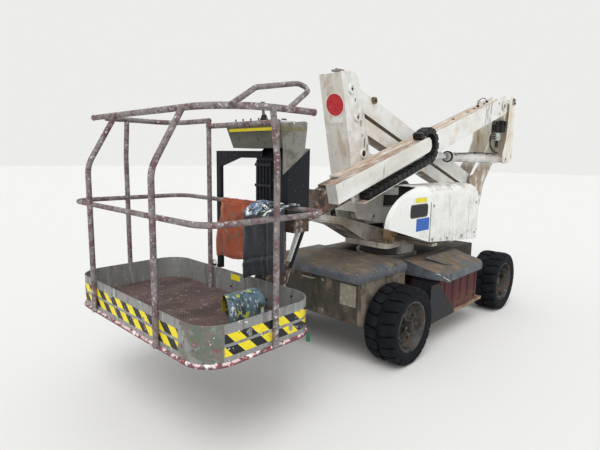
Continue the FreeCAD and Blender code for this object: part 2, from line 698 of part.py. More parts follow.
def post():
    """Front post: two side plates, a front plate and a sloping foot, open at the back for the arms."""
    f, top = LOWER_FRONT, POST_TOP_PIN
    side = [(f[0] - 150, f[1] - 76, 40), (f[0] + 235, f[1] - 4, 30), (top[0] + 138, top[1] + 122, 12),
            (top[0] - 70, top[1] + 140, 60), (UPPER_FRONT[0] - 130, UPPER_FRONT[1] - 60, 80),
            (UPPER_CYL_BASE[0] - 120, UPPER_CYL_BASE[1] - 60, 120),
            (LOWER_TIE_FRONT[0] - 70, LOWER_TIE_FRONT[1] + 80, 50),
            (LOWER_TIE_FRONT[0] - 86, LOWER_TIE_FRONT[1] - 40, 40)]
    sides = [plate(side, POST_Y[0], POST_Y[0] + PLATE_T), plate(side, POST_Y[1] - PLATE_T, POST_Y[1])]
    a, b = side[1], side[2]
    lean = math.degrees(math.atan2(b[1] - a[1], b[0] - a[0]))
    length = math.hypot(b[0] - a[0], b[1] - a[1])
    high = length - 8
    front = plate([on_line(a, lean, 60, 0), on_line(a, lean, high, 0),
                   on_line(a, lean, high, PLATE_T), on_line(a, lean, 60, PLATE_T)], *POST_Y)
    pins = [disc(p, ARM_PIN_R, POST_Y[0] - 10, POST_Y[1] + 10)
            for p in (LOWER_FRONT, LOWER_TIE_FRONT, UPPER_FRONT, UPPER_TIE_FRONT)]
    pins.append(disc(UPPER_CYL_BASE, EYE_R, POST_Y[0] - 8, POST_Y[1] + 8))
    return union(sides + [front] + pins)


def upper_arm():
    arm = link(UPPER_FRONT, UPPER_REAR, UPPER_DEPTH, *ARM_Y)
    root = polar(UPPER_FRONT, UPPER_ANGLE, UPPER_CYL_EYE[0])
    lugs = eye_lugs(root, UPPER_EYE_POINT, 60, ARM_MID_Y, UPPER_CYL_R + LIFT_LUG_OUT)
    shape = union([arm] + lugs)
    return bored(bored(shape, UPPER_FRONT, ARM_PIN_R + PIN_GAP), UPPER_REAR, ARM_PIN_R + PIN_GAP)


def rear_knuckle():
    p, k1, k2 = BOOM_PIVOT, UPPER_TIE_REAR, UPPER_REAR
    back = p[0] - KNUCKLE_BACK
    c = LUFF_BASE
    near = [(back + 45, p[1] + 128, 20), (p[0] - 190, p[1] + 128, 20), (p[0] - 160, p[1] - 380, 60),
            (c[0] + 78, c[1] + 60, 50), (c[0] + 62, c[1] - 66, 50), (back + 80, c[1] - 30, 60),
            (back, c[1] + 60, 40)]
    inside = [(back + 45, p[1] + 128, 20), (p[0] - 190, p[1] + 128, 20), (p[0] - 160, p[1] - 380, 60),
              (c[0] + 120, c[1] + 60, 80), (k1[0] - 40, k1[1] + 96, 60), (k1[0] + 70, k1[1] + 60, 50),
              (k1[0] + 76, k1[1] - 40, 50), (k2[0] + 66, k2[1] - 60, 50), (k2[0] - 40, k2[1] - 165, 30),
              (k2[0] - 125, k2[1] - 160, 30), (k2[0] - 250, k2[1] + 190, 80), (back, c[1] + 30, 40)]
    y_far, y_mid, y_near = POST_Y[0], POST_Y[1], BOOM_Y[1] + SIDE_GAP
    plates = [plate(inside, y_far, y_far + PLATE_T), plate(inside, y_mid - PLATE_T, y_mid + SIDE_GAP),
              plate(near, y_near, y_near + PLATE_T)]
    web = plate([(back + 5, c[1] + 26), (back + 2, c[1] + 90), (back + 45, p[1] + 110),
                 (back + 45 + PLATE_T, p[1] + 110), (back + PLATE_T, c[1] + 90), (back + 16, c[1] + 38)],
                y_far, y_near + PLATE_T)
    foot = plate([(back + 5, c[1] + 24), (back + 60, c[1] - 30), (back + 150, c[1] - 42),
                  (back + 150, c[1] - 33), (back + 66, c[1] - 21), (back + 16, c[1] + 34)],
                 y_far, y_near + PLATE_T)
    lug_y = (BOOM_Y[0] + 32, BOOM_Y[1] - 32)
    lug = plate([(p[0] + 52, p[1] - 62, 50), (p[0] + 52, p[1] + 55, 50), (p[0] - 60, p[1] + 62, 20),
                 (back + 40, p[1] + 62), (back + 30, p[1] - 160), (p[0] - 175, p[1] - 160),
                 (p[0] - 60, p[1] - 62)], *lug_y)
    boom_pin = disc(p, ARM_PIN_R + 7, BOOM_Y[0] - SIDE_GAP + 1, BOOM_Y[1] + SIDE_GAP - 1)
    cyl_pin = disc(c, EYE_R, y_mid, y_near + PLATE_T + 6)
    arm_pins = [disc(q, ARM_PIN_R, y_far - 8, y_mid + SIDE_GAP) for q in (k1, k2)]
    return union(plates + [web, foot, lug, boom_pin, cyl_pin] + arm_pins)


def valve_block():
    p = BOOM_PIVOT
    body = box((p[0] - 165, p[0] - 75), (BOOM_Y[0] + 30, BOOM_Y[1] - 20), (p[1] - 300, p[1] - 205))
    seat = box((p[0] - 230, p[0] - 160), (BOOM_Y[0] + 40, BOOM_Y[1] - 40), (p[1] - 280, p[1] - 160))
    return union([body, seat])


# Telescopic boom

def boom_box(s0, s1, n0, n1, y0, y1):
    corners = [boom_point(s0, n0), boom_point(s1, n0), boom_point(s1, n1), boom_point(s0, n1)]
    return plate(corners, y0, y1)


def boom_outer():
    h, w = BOOM_DEPTH / 2, BOOM_WALL
    shell = boom_box(-BOOM_TAIL, OUTER_LEN, -h, h, *BOOM_Y)
    bore = boom_box(-BOOM_TAIL - 5, OUTER_LEN + 5, -h + w, h - w, BOOM_Y[0] + w, BOOM_Y[1] - w)
    tube = shell.cut(bore)
    mouth = boom_box(-BOOM_TAIL - 5, 190, -h - 2, h + 2, BOOM_Y[0] + 22, BOOM_Y[1] - 22)
    tube = tube.cut(mouth)
    cheeks = [boom_box(-BOOM_TAIL, 230, -h, h, BOOM_Y[0], BOOM_Y[0] + 20),
              boom_box(-BOOM_TAIL, 230, -h, h, BOOM_Y[1] - 20, BOOM_Y[1])]
    eye = LUFF_EYE_POINT
    root = boom_point(LUFF_EYE[0], -h + 4)
    lugs = eye_lugs(root, eye, 64, BOOM_MID_Y, LUFF_BORE_R + LUFF_LUG_OUT)
    inside = boom_box(LUFF_EYE[0] - 200, LUFF_EYE[0] + 200, -h + w - 1, h, *BOOM_Y)
    lugs = [lug.cut(inside) for lug in lugs]
    collar = boom_box(OUTER_LEN - 70, OUTER_LEN, -h - 6, h + 6, BOOM_Y[0] - 4, BOOM_Y[1] + 4).cut(bore)
    pads = [boom_box(OUTER_LEN - 60, OUTER_LEN - 6, n0, n1, BOOM_Y[0] + w, BOOM_Y[1] - w)
            for n0, n1 in ((-h + w, -h + w + INNER_GAP - 0.5), (h - w - INNER_GAP + 0.5, h - w))]
    low = CHAIN_CENTRE_N - CHAIN_LOOP_R - CHAIN_LINK / 2
    shelf = boom_box(TRAY_S[0] + 160, OUTER_LEN - 20, low - 6, low, BOOM_Y[1], TRAY_Y[1] - 4)
    web = boom_box(TRAY_S[0] + 160, OUTER_LEN - 72, low - 6, low + 60, BOOM_Y[1] - 1, BOOM_Y[1] + 6)
    shape = union([tube] + cheeks + lugs + [collar, shelf, web] + pads)
    return bored(shape, BOOM_PIVOT, ARM_PIN_R + 7 + PIN_GAP)


def boom_inner():
    h = BOOM_DEPTH / 2 - BOOM_WALL - INNER_GAP
    y0, y1 = BOOM_Y[0] + BOOM_WALL + INNER_GAP, BOOM_Y[1] - BOOM_WALL - INNER_GAP
    shell = boom_box(INNER_TAIL, HEAD_S - 60, -h, h, y0, y1)
    bore = boom_box(INNER_TAIL - 5, HEAD_S - 90, -h + 8, h - 8, y0 + 8, y1 - 8)
    tube = shell.cut(bore)
    head = link(boom_point(HEAD_S - 62, 0), HEAD, 2 * h - 40, y0 + 10, y1 - 10)
    lugs = eye_lugs(HEAD, LEVEL_HEAD_POINT, 56, BOOM_MID_Y, LEVEL_R + LEVEL_LUG_OUT)
    pads = [boom_box(INNER_TAIL + 10, INNER_TAIL + 90, n0, n1, y0 + 10, y1 - 10)
            for n0, n1 in ((h, h + INNER_GAP - 0.5), (-h - INNER_GAP + 0.5, -h))]
    arm = boom_box(OUTER_LEN + 30, OUTER_LEN + 110, 10, h, y1 - 1, TRAY_Y[0])
    shape = union([tube, head, arm] + lugs + pads)
    return bored(shape, HEAD, ARM_PIN_R + PIN_GAP)


def chain_tray():
    s0, s1 = TRAY_S
    n0, n1 = TRAY_N
    r = (n1 - n0 - 16) / 2 - 3
    corners = [boom_point(s1, n0), boom_point(s1, n1), boom_point(s0, n1) + (r,),
               boom_point(s0, n0 + 16) + (r,)]
    inner = [boom_point(s1 + 5, n0 + 5), boom_point(s1 + 5, n1 - 5), boom_point(s0 + 5, n1 - 5) + (r - 6,),
             boom_point(s0 + 5, n0 + 21) + (r - 6,)]
    body = plate(corners, *TRAY_Y).cut(plate(inner, TRAY_Y[0] + 5, TRAY_Y[1] - 5))
    end = boom_box(s1 - 5, s1, n0, n1, *TRAY_Y)
    return union([body, end])


def energy_chain():
    """Chain folded round the tray's tail: lower run, half loop and a short upper run."""
    y0, y1 = TRAY_Y[0] + 2, TRAY_Y[1] - 4
    turn = boom_point(TRAY_S[0] + 20, CHAIN_CENTRE_N)
    low = CHAIN_CENTRE_N - CHAIN_LOOP_R
    angle = -BOOM_DROP
    # place on the chain's centre line and the direction of its run, one for each link
    links = []
    count = int((OUTER_LEN - 12 - TRAY_S[0] - 20) / CHAIN_PITCH)
    for k in range(count):
        links.append((boom_point(TRAY_S[0] + 20 + (count - k - 0.5) * CHAIN_PITCH, low), angle + 180.0))
    arcs = round(math.pi * CHAIN_LOOP_R / CHAIN_PITCH)
    for k in range(arcs):
        a = 180.0 * (k + 0.5) / arcs
        links.append((polar(turn, angle - 90.0 - a, CHAIN_LOOP_R), angle + 180.0 - a))
    for k in range(2):
        start = boom_point(TRAY_S[0] + 20, -low + 2 * CHAIN_CENTRE_N)
        links.append((polar(start, angle - 8.0, (k + 0.5) * CHAIN_PITCH), angle - 8.0))
    h = CHAIN_LINK / 2
    half = CHAIN_PITCH / 2
    pieces = []
    for centre, way in links:
        tall = [on_line(centre, way, -half + 8, -h), on_line(centre, way, half - 8, -h),
                on_line(centre, way, half - 8, h), on_line(centre, way, -half + 8, h)]
        neck = [on_line(centre, way, -half - 6, -h + 10), on_line(centre, way, half + 6, -h + 10),
                on_line(centre, way, half + 6, h - 10), on_line(centre, way, -half - 6, h - 10)]
        pieces.append(plate(tall, y0, y1))
        pieces.append(plate(neck, y0 + 5, y1 - 5))
    return union(pieces)


# Cylinders

def barrel(base, eye, share, r, y):
    """Cylinder barrel from its base pin, share of the closed length long."""
    angle = math.degrees(math.atan2(eye[1] - base[1], eye[0] - base[0]))
    length = math.hypot(eye[0] - base[0], eye[1] - base[1]) * share
    start = polar(base, angle, EYE_R + 10)
    end = polar(base, angle, length)
    body = rod(side_point(start, y), side_point(end, y), r)
    gland = rod(side_point(polar(base, angle, length - 26), y), side_point(end, y), r + 7)
    eye_ring = disc(base, EYE_R + 16, y - r + 4, y + r - 4)
    shape = union([body, gland, eye_ring])
    shape = bored(shape, base, EYE_R + PIN_GAP)
    bore = rod(side_point(polar(base, angle, EYE_R + 40), y), side_point(polar(base, angle, length + 5), y),
               r * 0.56 + PIN_GAP)
    return shape.cut(bore)


def piston(base, eye, r, y, lug_out):
    """Piston rod with its eye and the eye's own pin, which ends just short of the lugs."""
    angle = math.degrees(math.atan2(eye[1] - base[1], eye[0] - base[0]))
    start = polar(base, angle, EYE_R + 60)
    end = polar(eye, angle, -EYE_R - 2)
    shape = rod(side_point(start, y), side_point(end, y), r * 0.56)
    eye_ring = disc(eye, EYE_R + EYE_WALL, y - r + 6, y + r - 6)
    pin_half = r + lug_out - LUG_T / 2 - 0.5
    return union([shape, eye_ring, disc(eye, EYE_R, y - pin_half, y + pin_half)])


# Cage

def cage_plan(grow=0.0, corner=CAGE_CORNER):
    x0, x1 = CAGE_X[0] - grow, CAGE_X[1] + grow
    w = CAGE_HALF_W + grow
    return [(x0, -w, corner + grow), (x1, -w, corner + grow), (x1, w, corner + grow), (x0, w, corner + grow)]


def loop_pipe(plan, z, r, corner):
    return pipe([(p[0], p[1], z) for p in plan], r, corner, closed=True)


def toe_board():
    top = CAGE_Z + TOE_H
    band = slab(cage_plan(), CAGE_Z, top).cut(slab(cage_plan(-TOE_T), CAGE_Z - 5, top + 5))
    middle = cage_plan(-TOE_T / 2)
    rim_tube = loop_pipe(middle, CAGE_Z, RIM_TUBE_R, CAGE_CORNER - TOE_T / 2)
    return union([band, rim_tube])


def cage_floor():
    plan = cage_plan(-TOE_T - 0.5)
    sheet = slab(plan, FLOOR_Z[1] - 4, FLOOR_Z[1])
    half = CAGE_HALF_W - TOE_T - 0.5
    bars = [box((x - 15, x + 15), (-half, half), (FLOOR_Z[0] - 4, FLOOR_Z[1] - 3))
            for x in (CAGE_X[0] + CAGE_CORNER + 40, (CAGE_X[0] + CAGE_X[1]) / 2,
                      CAGE_X[1] - CAGE_CORNER - 40)]
    return union([sheet] + bars)


def cage_frame():
    x0, x1 = CAGE_X
    w = CAGE_HALF_W
    top_x = x1 - RAIL_SETBACK
    inset = RAIL_R + TOE_T
    pieces = []
    # name, plan place, bend towards the back above POST_BEND_Z
    foot = FLOOR_Z[1]
    for px, py, bent in ((x1 - inset, 320.0, True), (x1 - inset, -420.0, True),
                         (x0 + 330, w - inset, False), (x0 + 380, -w + inset, False),
                         (x0 + inset, BACK_POSTS_Y[0], False)):
        if bent:
            pieces.append(pipe([(px, py, foot), (px, py, POST_BEND_Z), (top_x, py, RAIL_Z)], RAIL_R - 1, 180))
        else:
            pieces.append(pipe([(px, py, foot), (px, py, RAIL_Z)], RAIL_R - 1))
    low_z = RAIL_Z - BACK_RAIL_DROP
    pieces.append(pipe([(x0 + inset, BACK_POSTS_Y[1], foot), (x0 + inset, BACK_POSTS_Y[1], low_z)],
                       RAIL_R - 1))
    front_rail = [(top_x, -w - 20, RAIL_Z), (top_x, w - inset, RAIL_Z), (x0 + 40, w - inset, RAIL_Z)]
    pieces.append(pipe(front_rail, RAIL_R, 320))
    back_rail = [(top_x - 60, -w + inset, RAIL_Z), (x0 + inset, -w + inset, RAIL_Z),
                 (x0 + inset, BACK_POSTS_Y[0] + 10, RAIL_Z)]
    pieces.append(pipe(back_rail, RAIL_R, 150))
    pieces.append(pipe([(x0 + inset, BACK_POSTS_Y[0] - 10, low_z),
                        (x0 + inset, BACK_POSTS_Y[1] + 14, low_z)], RAIL_R))
    side = w - inset + 8
    mid = [(x0 - 60, -side), (x1 - 6, -side), (x1 - 6, side), (x0 - 60, side)]
    pieces.append(loop_pipe(mid, MID_RAIL_Z, RAIL_R - 2, 120))
    hoop = [(top_x - 60, 630.0, RAIL_Z), (x0 + 300, 540.0, RAIL_Z + 110), (x0 - 110, 600.0, RAIL_Z + 185),
            (x0 + 230, w - inset, RAIL_Z)]
    pieces.append(pipe(hoop, RAIL_R - 3, 45))
    return union(pieces)


def cage_mount():
    """Bracket from the boom's head to the mast, the level cylinder's foot and two beams under the cage."""
    f = LEVEL_FOOT_POINT
    m = MAST_X[0]
    cheek = [(HEAD[0] - 62, HEAD[1] - 62, 60), (m - 120, HEAD[1] - 150, 60), (m - 6, HEAD[1] - 160),
             (m - 6, HEAD[1] + 110), (HEAD[0] + 120, HEAD[1] + 74, 60), (HEAD[0] - 62, HEAD[1] + 62, 60)]
    y0, y1 = BOOM_Y[0] - 10, BOOM_Y[1]
    cheeks = [plate(cheek, y0, y0 + 14), plate(cheek, y1 - 4, y1 + 10)]
    low, high = CAGE_Z - RIM_TUBE_R - 43, CAGE_Z - RIM_TUBE_R - 3
    back = box((m - 12, m), (y0, y1 + 10), (MAST_Z0 - SHELF[1], HEAD[1] + 110))
    shelf = box((m - 1, m + SHELF[0]), (COLUMN_Y[0], MAST_Y[1]), (MAST_Z0 - SHELF[1], MAST_Z0))
    column = box((m - 12, m + COLUMN_DEPTH), COLUMN_Y, (low, MAST_Z0 - SHELF[1] + 1))
    lug = [(m - 6, f[1] - 66), (m - 6, f[1] + 66), (f[0] - 34, f[1] + 34, 33), (f[0] - 34, f[1] - 34, 33)]
    reach = LEVEL_R + 10
    lugs = [plate(lug, BOOM_MID_Y + s * reach - 7, BOOM_MID_Y + s * reach + 7) for s in (1, -1)]
    pin = disc(HEAD, ARM_PIN_R, y0 - 6, y1 + 14)
    foot_pin = disc(f, EYE_R, BOOM_MID_Y - reach - 12, BOOM_MID_Y + reach + 12)
    sill = box((m - 1, MAST_X[1]), (0, 260), (low, high + 20))
    beams = [box((m + 40, CAGE_X[1] - 120), (y - 20, y + 20), (low + 2, high)) for y in (30.0, 230.0)]
    seats = [box((CAGE_X[0] + 120, CAGE_X[1] - 125), (y - 15, y + 15), (high - 1, FLOOR_Z[0] - 4))
             for y in (30.0, 230.0)]
    return union(cheeks + [back, shelf, column] + lugs + [pin, foot_pin, sill] + beams + seats)


def mast():
    """Upright behind the cage that carries the control box, with an arm down to the toe board."""
    x1, y0, z = MAST_X[1], MAST_Y[0], CONSOLE_Z
    outer = plate([(MAST_X[0], MAST_Z0), (x1, MAST_Z0), (x1, z - 62), (x1 - 60, z), (MAST_X[0], z)], *MAST_Y)
    foot_z = CAGE_Z + TOE_H - 32
    arm = section([(y0 - 425, foot_z), (y0 - 425, z - 17), (y0 + 60, z - 17), (y0 + 60, z - 62),
                   (y0 - 175, z - 62), (y0 - 375, z - 122), (y0 - 375, foot_z)], x1 - 20, x1 + 5)
    foot = box((x1 - 20, CAGE_X[0]), (y0 - 425, y0 - 375), (foot_z, foot_z + 20))
    return union([outer, arm, foot])


def console():
    """Control box on top of the mast, wider at its desk, with one lever."""
    x0, x1 = MAST_X[0] + 35, MAST_X[1] + 65
    y0, y1 = MAST_Y[0] - 225, MAST_Y[1] + 5
    z, desk_z = CONSOLE_Z, CONSOLE_Z + DESK_H
    foot = [(x0 + 15, y0 + 45, z), (x1 - 20, y0 + 45, z), (x1 - 20, y1 - 2, z), (x0 + 15, y1 - 2, z)]
    desk = [(x0, y0, desk_z), (x1, y0, desk_z), (x1, y1, desk_z), (x0, y1, desk_z)]
    faces = [[V(*p) for p in foot], [V(*p) for p in desk]]
    for i in range(4):
        j = (i + 1) % 4
        faces.append([V(*foot[i]), V(*foot[j]), V(*desk[j]), V(*desk[i])])
    body = closed_body(faces)
    top = plate([(x0, desk_z - 1), (x1, desk_z - 1), (x1, desk_z + 12), (x0 + 20, desk_z + 36, 12),
                 (x0, desk_z + 30)], y0, y1)
    gusset = plate([(x0 - 28, z + 1), (x1 - 20, z + 1), (x1 - 20, z - 157)], y1 - 5, y1 + 1)
    tongue = box((x0 + 30, x1 - 40), (y1 - 8, y1 + 1), (z, z + 20))
    lever = rod((x0 + 120, y0 + 250, desk_z + 10), (x0 + 128, y0 + 250, desk_z + 130), 9, 8)
    knob = rod((x0 + 128, y0 + 250, desk_z + 110), (x0 + 131, y0 + 250, desk_z + 160), 14, 8)
    return union([body, top, gusset, tongue, lever, knob])


def foot_switch_hood():
    """D-shaped tunnel on the cage floor."""
    z = FLOOR_Z[1]
    x0, x1 = HOOD_X
    y0, y1 = HOOD_Y
    r = (y1 - y0) / 2 - 4
    outer = section([(y0, z), (y0, z + HOOD_H, r), (y1, z + HOOD_H, r), (y1, z)], x0, x1)
    inner = section([(y0 + 4, z - 5), (y0 + 4, z + HOOD_H - 4, r - 4), (y1 - 4, z + HOOD_H - 4, r - 4),
                     (y1 - 4, z - 5)], x0 + 4, x1 + 5)
    return outer.cut(inner)


def tool_bag():
    """Canvas bag inside the cage, its hem turned over the back of the middle rail."""
    x, y = BAG_X, BAG_Y
    top = MID_RAIL_Z + RAIL_R - 2
    body = section([(y[0] + 6, top - BAG_H), (y[1] - 12, top - BAG_H - 20), (y[1], top + 10),
                    (y[0], top + 10)], *x)
    hem = box((x[0] - 40, x[0] + 1), y, (top, top + 10))
    return union([body, hem])


def rail_cover():
    """Black padded mat hung over the middle rail, slit for the post behind it."""
    top = MID_RAIL_Z + RAIL_R - 2
    inside = box(MAT_X, MAT_Y, (top - MAT_H, top + 14))
    slit = (BACK_POSTS_Y[1] - RAIL_R - 6, BACK_POSTS_Y[1] + RAIL_R + 6)
    saddles = [box((MAT_X[0] - 130, MAT_X[0] + 1), y, (top, top + 14))
               for y in ((MAT_Y[0], slit[0]), (slit[1], MAT_Y[1]))]
    return union([inside] + saddles)


def build():
    wheel("front", FRONT_DISH)
    wheel("rear", REAR_DISH)
    put("chassis_frame", chassis_frame())
    put("front_housing", front_housing())
    put("front_lid", front_lid())
    for name, side in (("left", 1), ("right", -1)):
        put("battery_box_" + name, pod(side))
        put("pod_lid_" + name, pod_lid(side))
        put("pod_sill_" + name, pod_sill(side))
        put("steer_knuckle_" + name, steer_knuckle(side))
        put("turret_cover_" + name, cover(side))
    put("front_axle", front_axle())
    put("rear_axle", rear_axle())
    put("slew_ring", slew_ring())
    put("slew_drum", slew_drum())
    put("turret_base", turret_base())
    put("slew_motor", slew_motor())
    put("power_unit", power_unit())
    put("lower_arm", lower_arm())
    put("lower_tie", tie(LOWER_TIE_REAR, LOWER_TIE_FRONT, LOWER_TIE_DEPTH))
    put("front_post", post())
    put("upper_arm", upper_arm())
    put("upper_tie", tie(UPPER_TIE_FRONT, UPPER_TIE_REAR, UPPER_TIE_DEPTH))
    put("rear_knuckle", rear_knuckle())
    put("valve_block", valve_block())
    put("boom_outer", boom_outer())
    put("boom_inner", boom_inner())
    put("chain_tray", chain_tray())
    put("energy_chain", energy_chain())
    # name, base pin, rod eye, barrel's share of the closed length, radius, y, lugs outside the radius
    for name, base, eye, share, r, y, lug_out in (
            ("lower_lift", LOWER_CYL_BASE, LOWER_EYE_POINT, 0.84, LOWER_CYL_R, ARM_MID_Y, LIFT_LUG_OUT),
            ("upper_lift", UPPER_CYL_BASE, UPPER_EYE_POINT, 0.84, UPPER_CYL_R, ARM_MID_Y, LIFT_LUG_OUT),
            ("luff", LUFF_BASE, LUFF_EYE_POINT, 0.80, LUFF_BORE_R, BOOM_MID_Y, LUFF_LUG_OUT),
            ("level", LEVEL_FOOT_POINT, LEVEL_HEAD_POINT, 0.84, LEVEL_R, BOOM_MID_Y, LEVEL_LUG_OUT)):
        put(name + "_barrel", barrel(base, eye, share, r, y))
        put(name + "_rod", piston(base, eye, r, y, lug_out))
    put("cage_mount", cage_mount())
    put("mast", mast())
    put("cage_frame", cage_frame())
    put("toe_board", toe_board())
    put("cage_floor", cage_floor())
    put("console", console())
    put("foot_switch_hood", foot_switch_hood())
    put("tool_bag", tool_bag())
    put("rail_cover", rail_cover())


build()
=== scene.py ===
import json
import math

import bmesh
import bpy
from bmesh.types import BMEdge, BMVert
from mathutils import Matrix, Vector


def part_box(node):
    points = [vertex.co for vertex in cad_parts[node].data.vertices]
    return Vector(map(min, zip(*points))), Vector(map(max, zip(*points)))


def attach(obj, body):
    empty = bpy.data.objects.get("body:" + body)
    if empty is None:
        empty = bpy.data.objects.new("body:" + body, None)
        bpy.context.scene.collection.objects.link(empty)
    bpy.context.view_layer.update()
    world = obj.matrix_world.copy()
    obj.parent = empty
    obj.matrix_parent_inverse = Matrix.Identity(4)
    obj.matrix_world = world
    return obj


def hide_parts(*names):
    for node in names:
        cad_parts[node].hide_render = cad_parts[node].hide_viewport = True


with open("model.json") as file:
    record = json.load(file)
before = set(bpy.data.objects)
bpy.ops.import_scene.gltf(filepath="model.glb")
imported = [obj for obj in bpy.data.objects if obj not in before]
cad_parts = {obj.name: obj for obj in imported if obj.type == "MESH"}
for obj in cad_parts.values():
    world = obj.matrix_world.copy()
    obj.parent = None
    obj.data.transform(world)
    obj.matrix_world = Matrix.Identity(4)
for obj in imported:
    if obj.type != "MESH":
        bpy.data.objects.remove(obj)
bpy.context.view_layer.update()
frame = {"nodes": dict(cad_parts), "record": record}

nodes = frame["nodes"]

# The CAD part is centred on its length; machine places below are measured from the wheelbase's middle.
CENTRE_X = 0.1775
UP = Vector((0, 0, 1))
SIDES = ((1, "left"), (-1, "right"))


def at(x, y, z):
    """Machine place in metres, in the frame's own coordinates."""
    return Vector((x - CENTRE_X, y, z))


def linear(colour):
    """Shader colour from the 0 to 255 values that the eye reads off a screen."""
    shares = [v / 255.0 for v in colour]
    return (*(v / 12.92 if v <= 0.04045 else ((v + 0.055) / 1.055) ** 2.4 for v in shares), 1.0)


# Colours of the machine's finishes, from 0 to 255
WHITE = (226, 227, 223)
OLD_WHITE = (205, 201, 192)
GRIME = (112, 92, 74)
DARK_GRIME_AND_SHADE = (52, 46, 40)
RUST = (122, 72, 44)
DUST = (150, 138, 122)
LID_GREY = (78, 82, 87)
OLIVE = (66, 63, 55)
MAROON = (76, 24, 28)
STEP_BEIGE = (146, 124, 104)
RUBBER = (15, 17, 21)
WHEEL_GREY = (72, 72, 70)
TUBE_GREY = (126, 119, 118)
TUBE_MAROON = (104, 72, 74)
SPLAT_WHITE = (228, 228, 226)
SPLAT_BLUE = (84, 104, 142)
SPLAT_PINK = (190, 128, 150)
SHEET_GREY = (142, 143, 140)
STRIPE_YELLOW = (238, 218, 36)
STRIPE_BLACK = (30, 31, 34)
FLOOR_BROWN = (104, 84, 80)
CANVAS = (150, 68, 36)
MAT_NAVY = (33, 36, 42)
CONSOLE_OLIVE = (86, 86, 78)
MAST_BLACK = (23, 25, 31)
HOOD_BLUE = (92, 116, 128)


# Node trees of the finishes

class Finish:
    """One finish: colour layers over a base, each held by a mask on the piece's own coordinates."""

    def __init__(self, name, base, rough=0.6, metal=0.0, coat=0.0, shine=0.5):
        self.mat = bpy.data.materials.new(name)
        self.mat.use_nodes = True
        self.mat.diffuse_color = linear(base)
        self.tree = self.mat.node_tree
        self.bsdf = self.tree.nodes["Principled BSDF"]
        self.bsdf.inputs["Metallic"].default_value = metal
        self.bsdf.inputs["Coat Weight"].default_value = coat
        self.bsdf.inputs["Specular IOR Level"].default_value = shine
        coords = self.tree.nodes.new("ShaderNodeTexCoord")
        self.place, self.normal = coords.outputs["Object"], coords.outputs["Normal"]
        self.facing = self.axis(self.normal, "Z")
        self.colour = linear(base)
        self.rough = rough
        self.height = None
        self.seed = 0.0

    def fill(self, socket, value):
        if hasattr(value, "is_output"):
            self.tree.links.new(value, socket)
        else:
            socket.default_value = value

    def node(self, kind, inputs, out=0, **settings):
        """Output of a new node with these settings and inputs."""
        made = self.tree.nodes.new("ShaderNode" + kind)
        for name, value in settings.items():
            setattr(made, name, value)
        for socket, value in inputs.items():
            self.fill(made.inputs[socket], value)
        return made.outputs[out]

    def axis(self, vector, letter):
        return self.node("SeparateXYZ", {0: vector}, letter)

    def xyz(self, letter):
        return self.axis(self.place, letter)

    def noise(self, scale, detail=5, stretch=(1, 1, 1), turn=(0, 0, 0), rough=0.55):
        """Fractal noise; a small stretch on an axis draws it out along that axis."""
        self.seed += 3.7
        place = self.node("Mapping", {"Scale": [1 / max(v, 0.01) for v in stretch], "Rotation": turn,
                                      "Location": (self.seed, self.seed * 0.6, -self.seed),
                                      "Vector": self.place}, vector_type="TEXTURE")
        return self.node("TexNoise", {"Scale": scale, "Detail": detail, "Roughness": rough,
                                      "Distortion": 0.0, "Vector": place}, "Fac")

    def ramp(self, value, low, high, to_low=0.0, to_high=1.0):
        """0 below low and 1 above high, or the other way round when high is the smaller."""
        if low > high:
            low, high, to_low, to_high = high, low, to_high, to_low
        return self.node("MapRange", {"Value": value, "From Min": low, "From Max": high,
                                      "To Min": to_low, "To Max": to_high}, "Result",
                         interpolation_type="SMOOTHSTEP")

    def math(self, kind, a, b=0.0):
        return self.node("Math", {0: a, 1: b}, operation=kind)

    def patches(self, scale, detail, low, high, stretch=(1, 1, 1), **how):
        """1 where noise is above high and 0 where it is below low."""
        return self.ramp(self.noise(scale, detail, stretch, **how), low, high)

    def both(self, *masks):
        """Product of masks, each a socket, a number or the arguments of patches."""
        masks = [self.patches(*mask) if isinstance(mask, tuple) else mask for mask in masks]
        out = masks[0]
        for mask in masks[1:]:
            out = self.math("MULTIPLY", out, mask)
        return out

    def band(self, value, low, high, soft=0.001):
        """1 where value lies between low and high."""
        return self.both(self.ramp(value, low - soft, low + soft), self.ramp(value, high + soft, high - soft))

    def layer(self, colour, *masks, rough=None):
        """Lays a colour, and its roughness, over what is there, as far as all the masks let it."""
        mask = self.both(*masks)
        self.colour = self.node("Mix", {0: mask, 6: self.colour, 7: linear(colour)}, 2, data_type="RGBA")
        if rough is not None:
            self.rough = self.node("Mix", {0: mask, 2: self.rough, 3: rough})
        return self

    def raise_by(self, mask, amount):
        """Adds mask times amount, in metres, to the bump height."""
        term = self.math("MULTIPLY", mask, amount)
        self.height = term if self.height is None else self.math("ADD", self.height, term)
        return self

    def done(self, strength=1.0):
        self.fill(self.bsdf.inputs["Base Color"], self.colour)
        self.fill(self.bsdf.inputs["Roughness"], self.rough)
        bump = self.node("Bump", {"Strength": strength, "Distance": 1.0, "Height": self.height})
        self.fill(self.bsdf.inputs["Normal"], bump)
        return self.mat


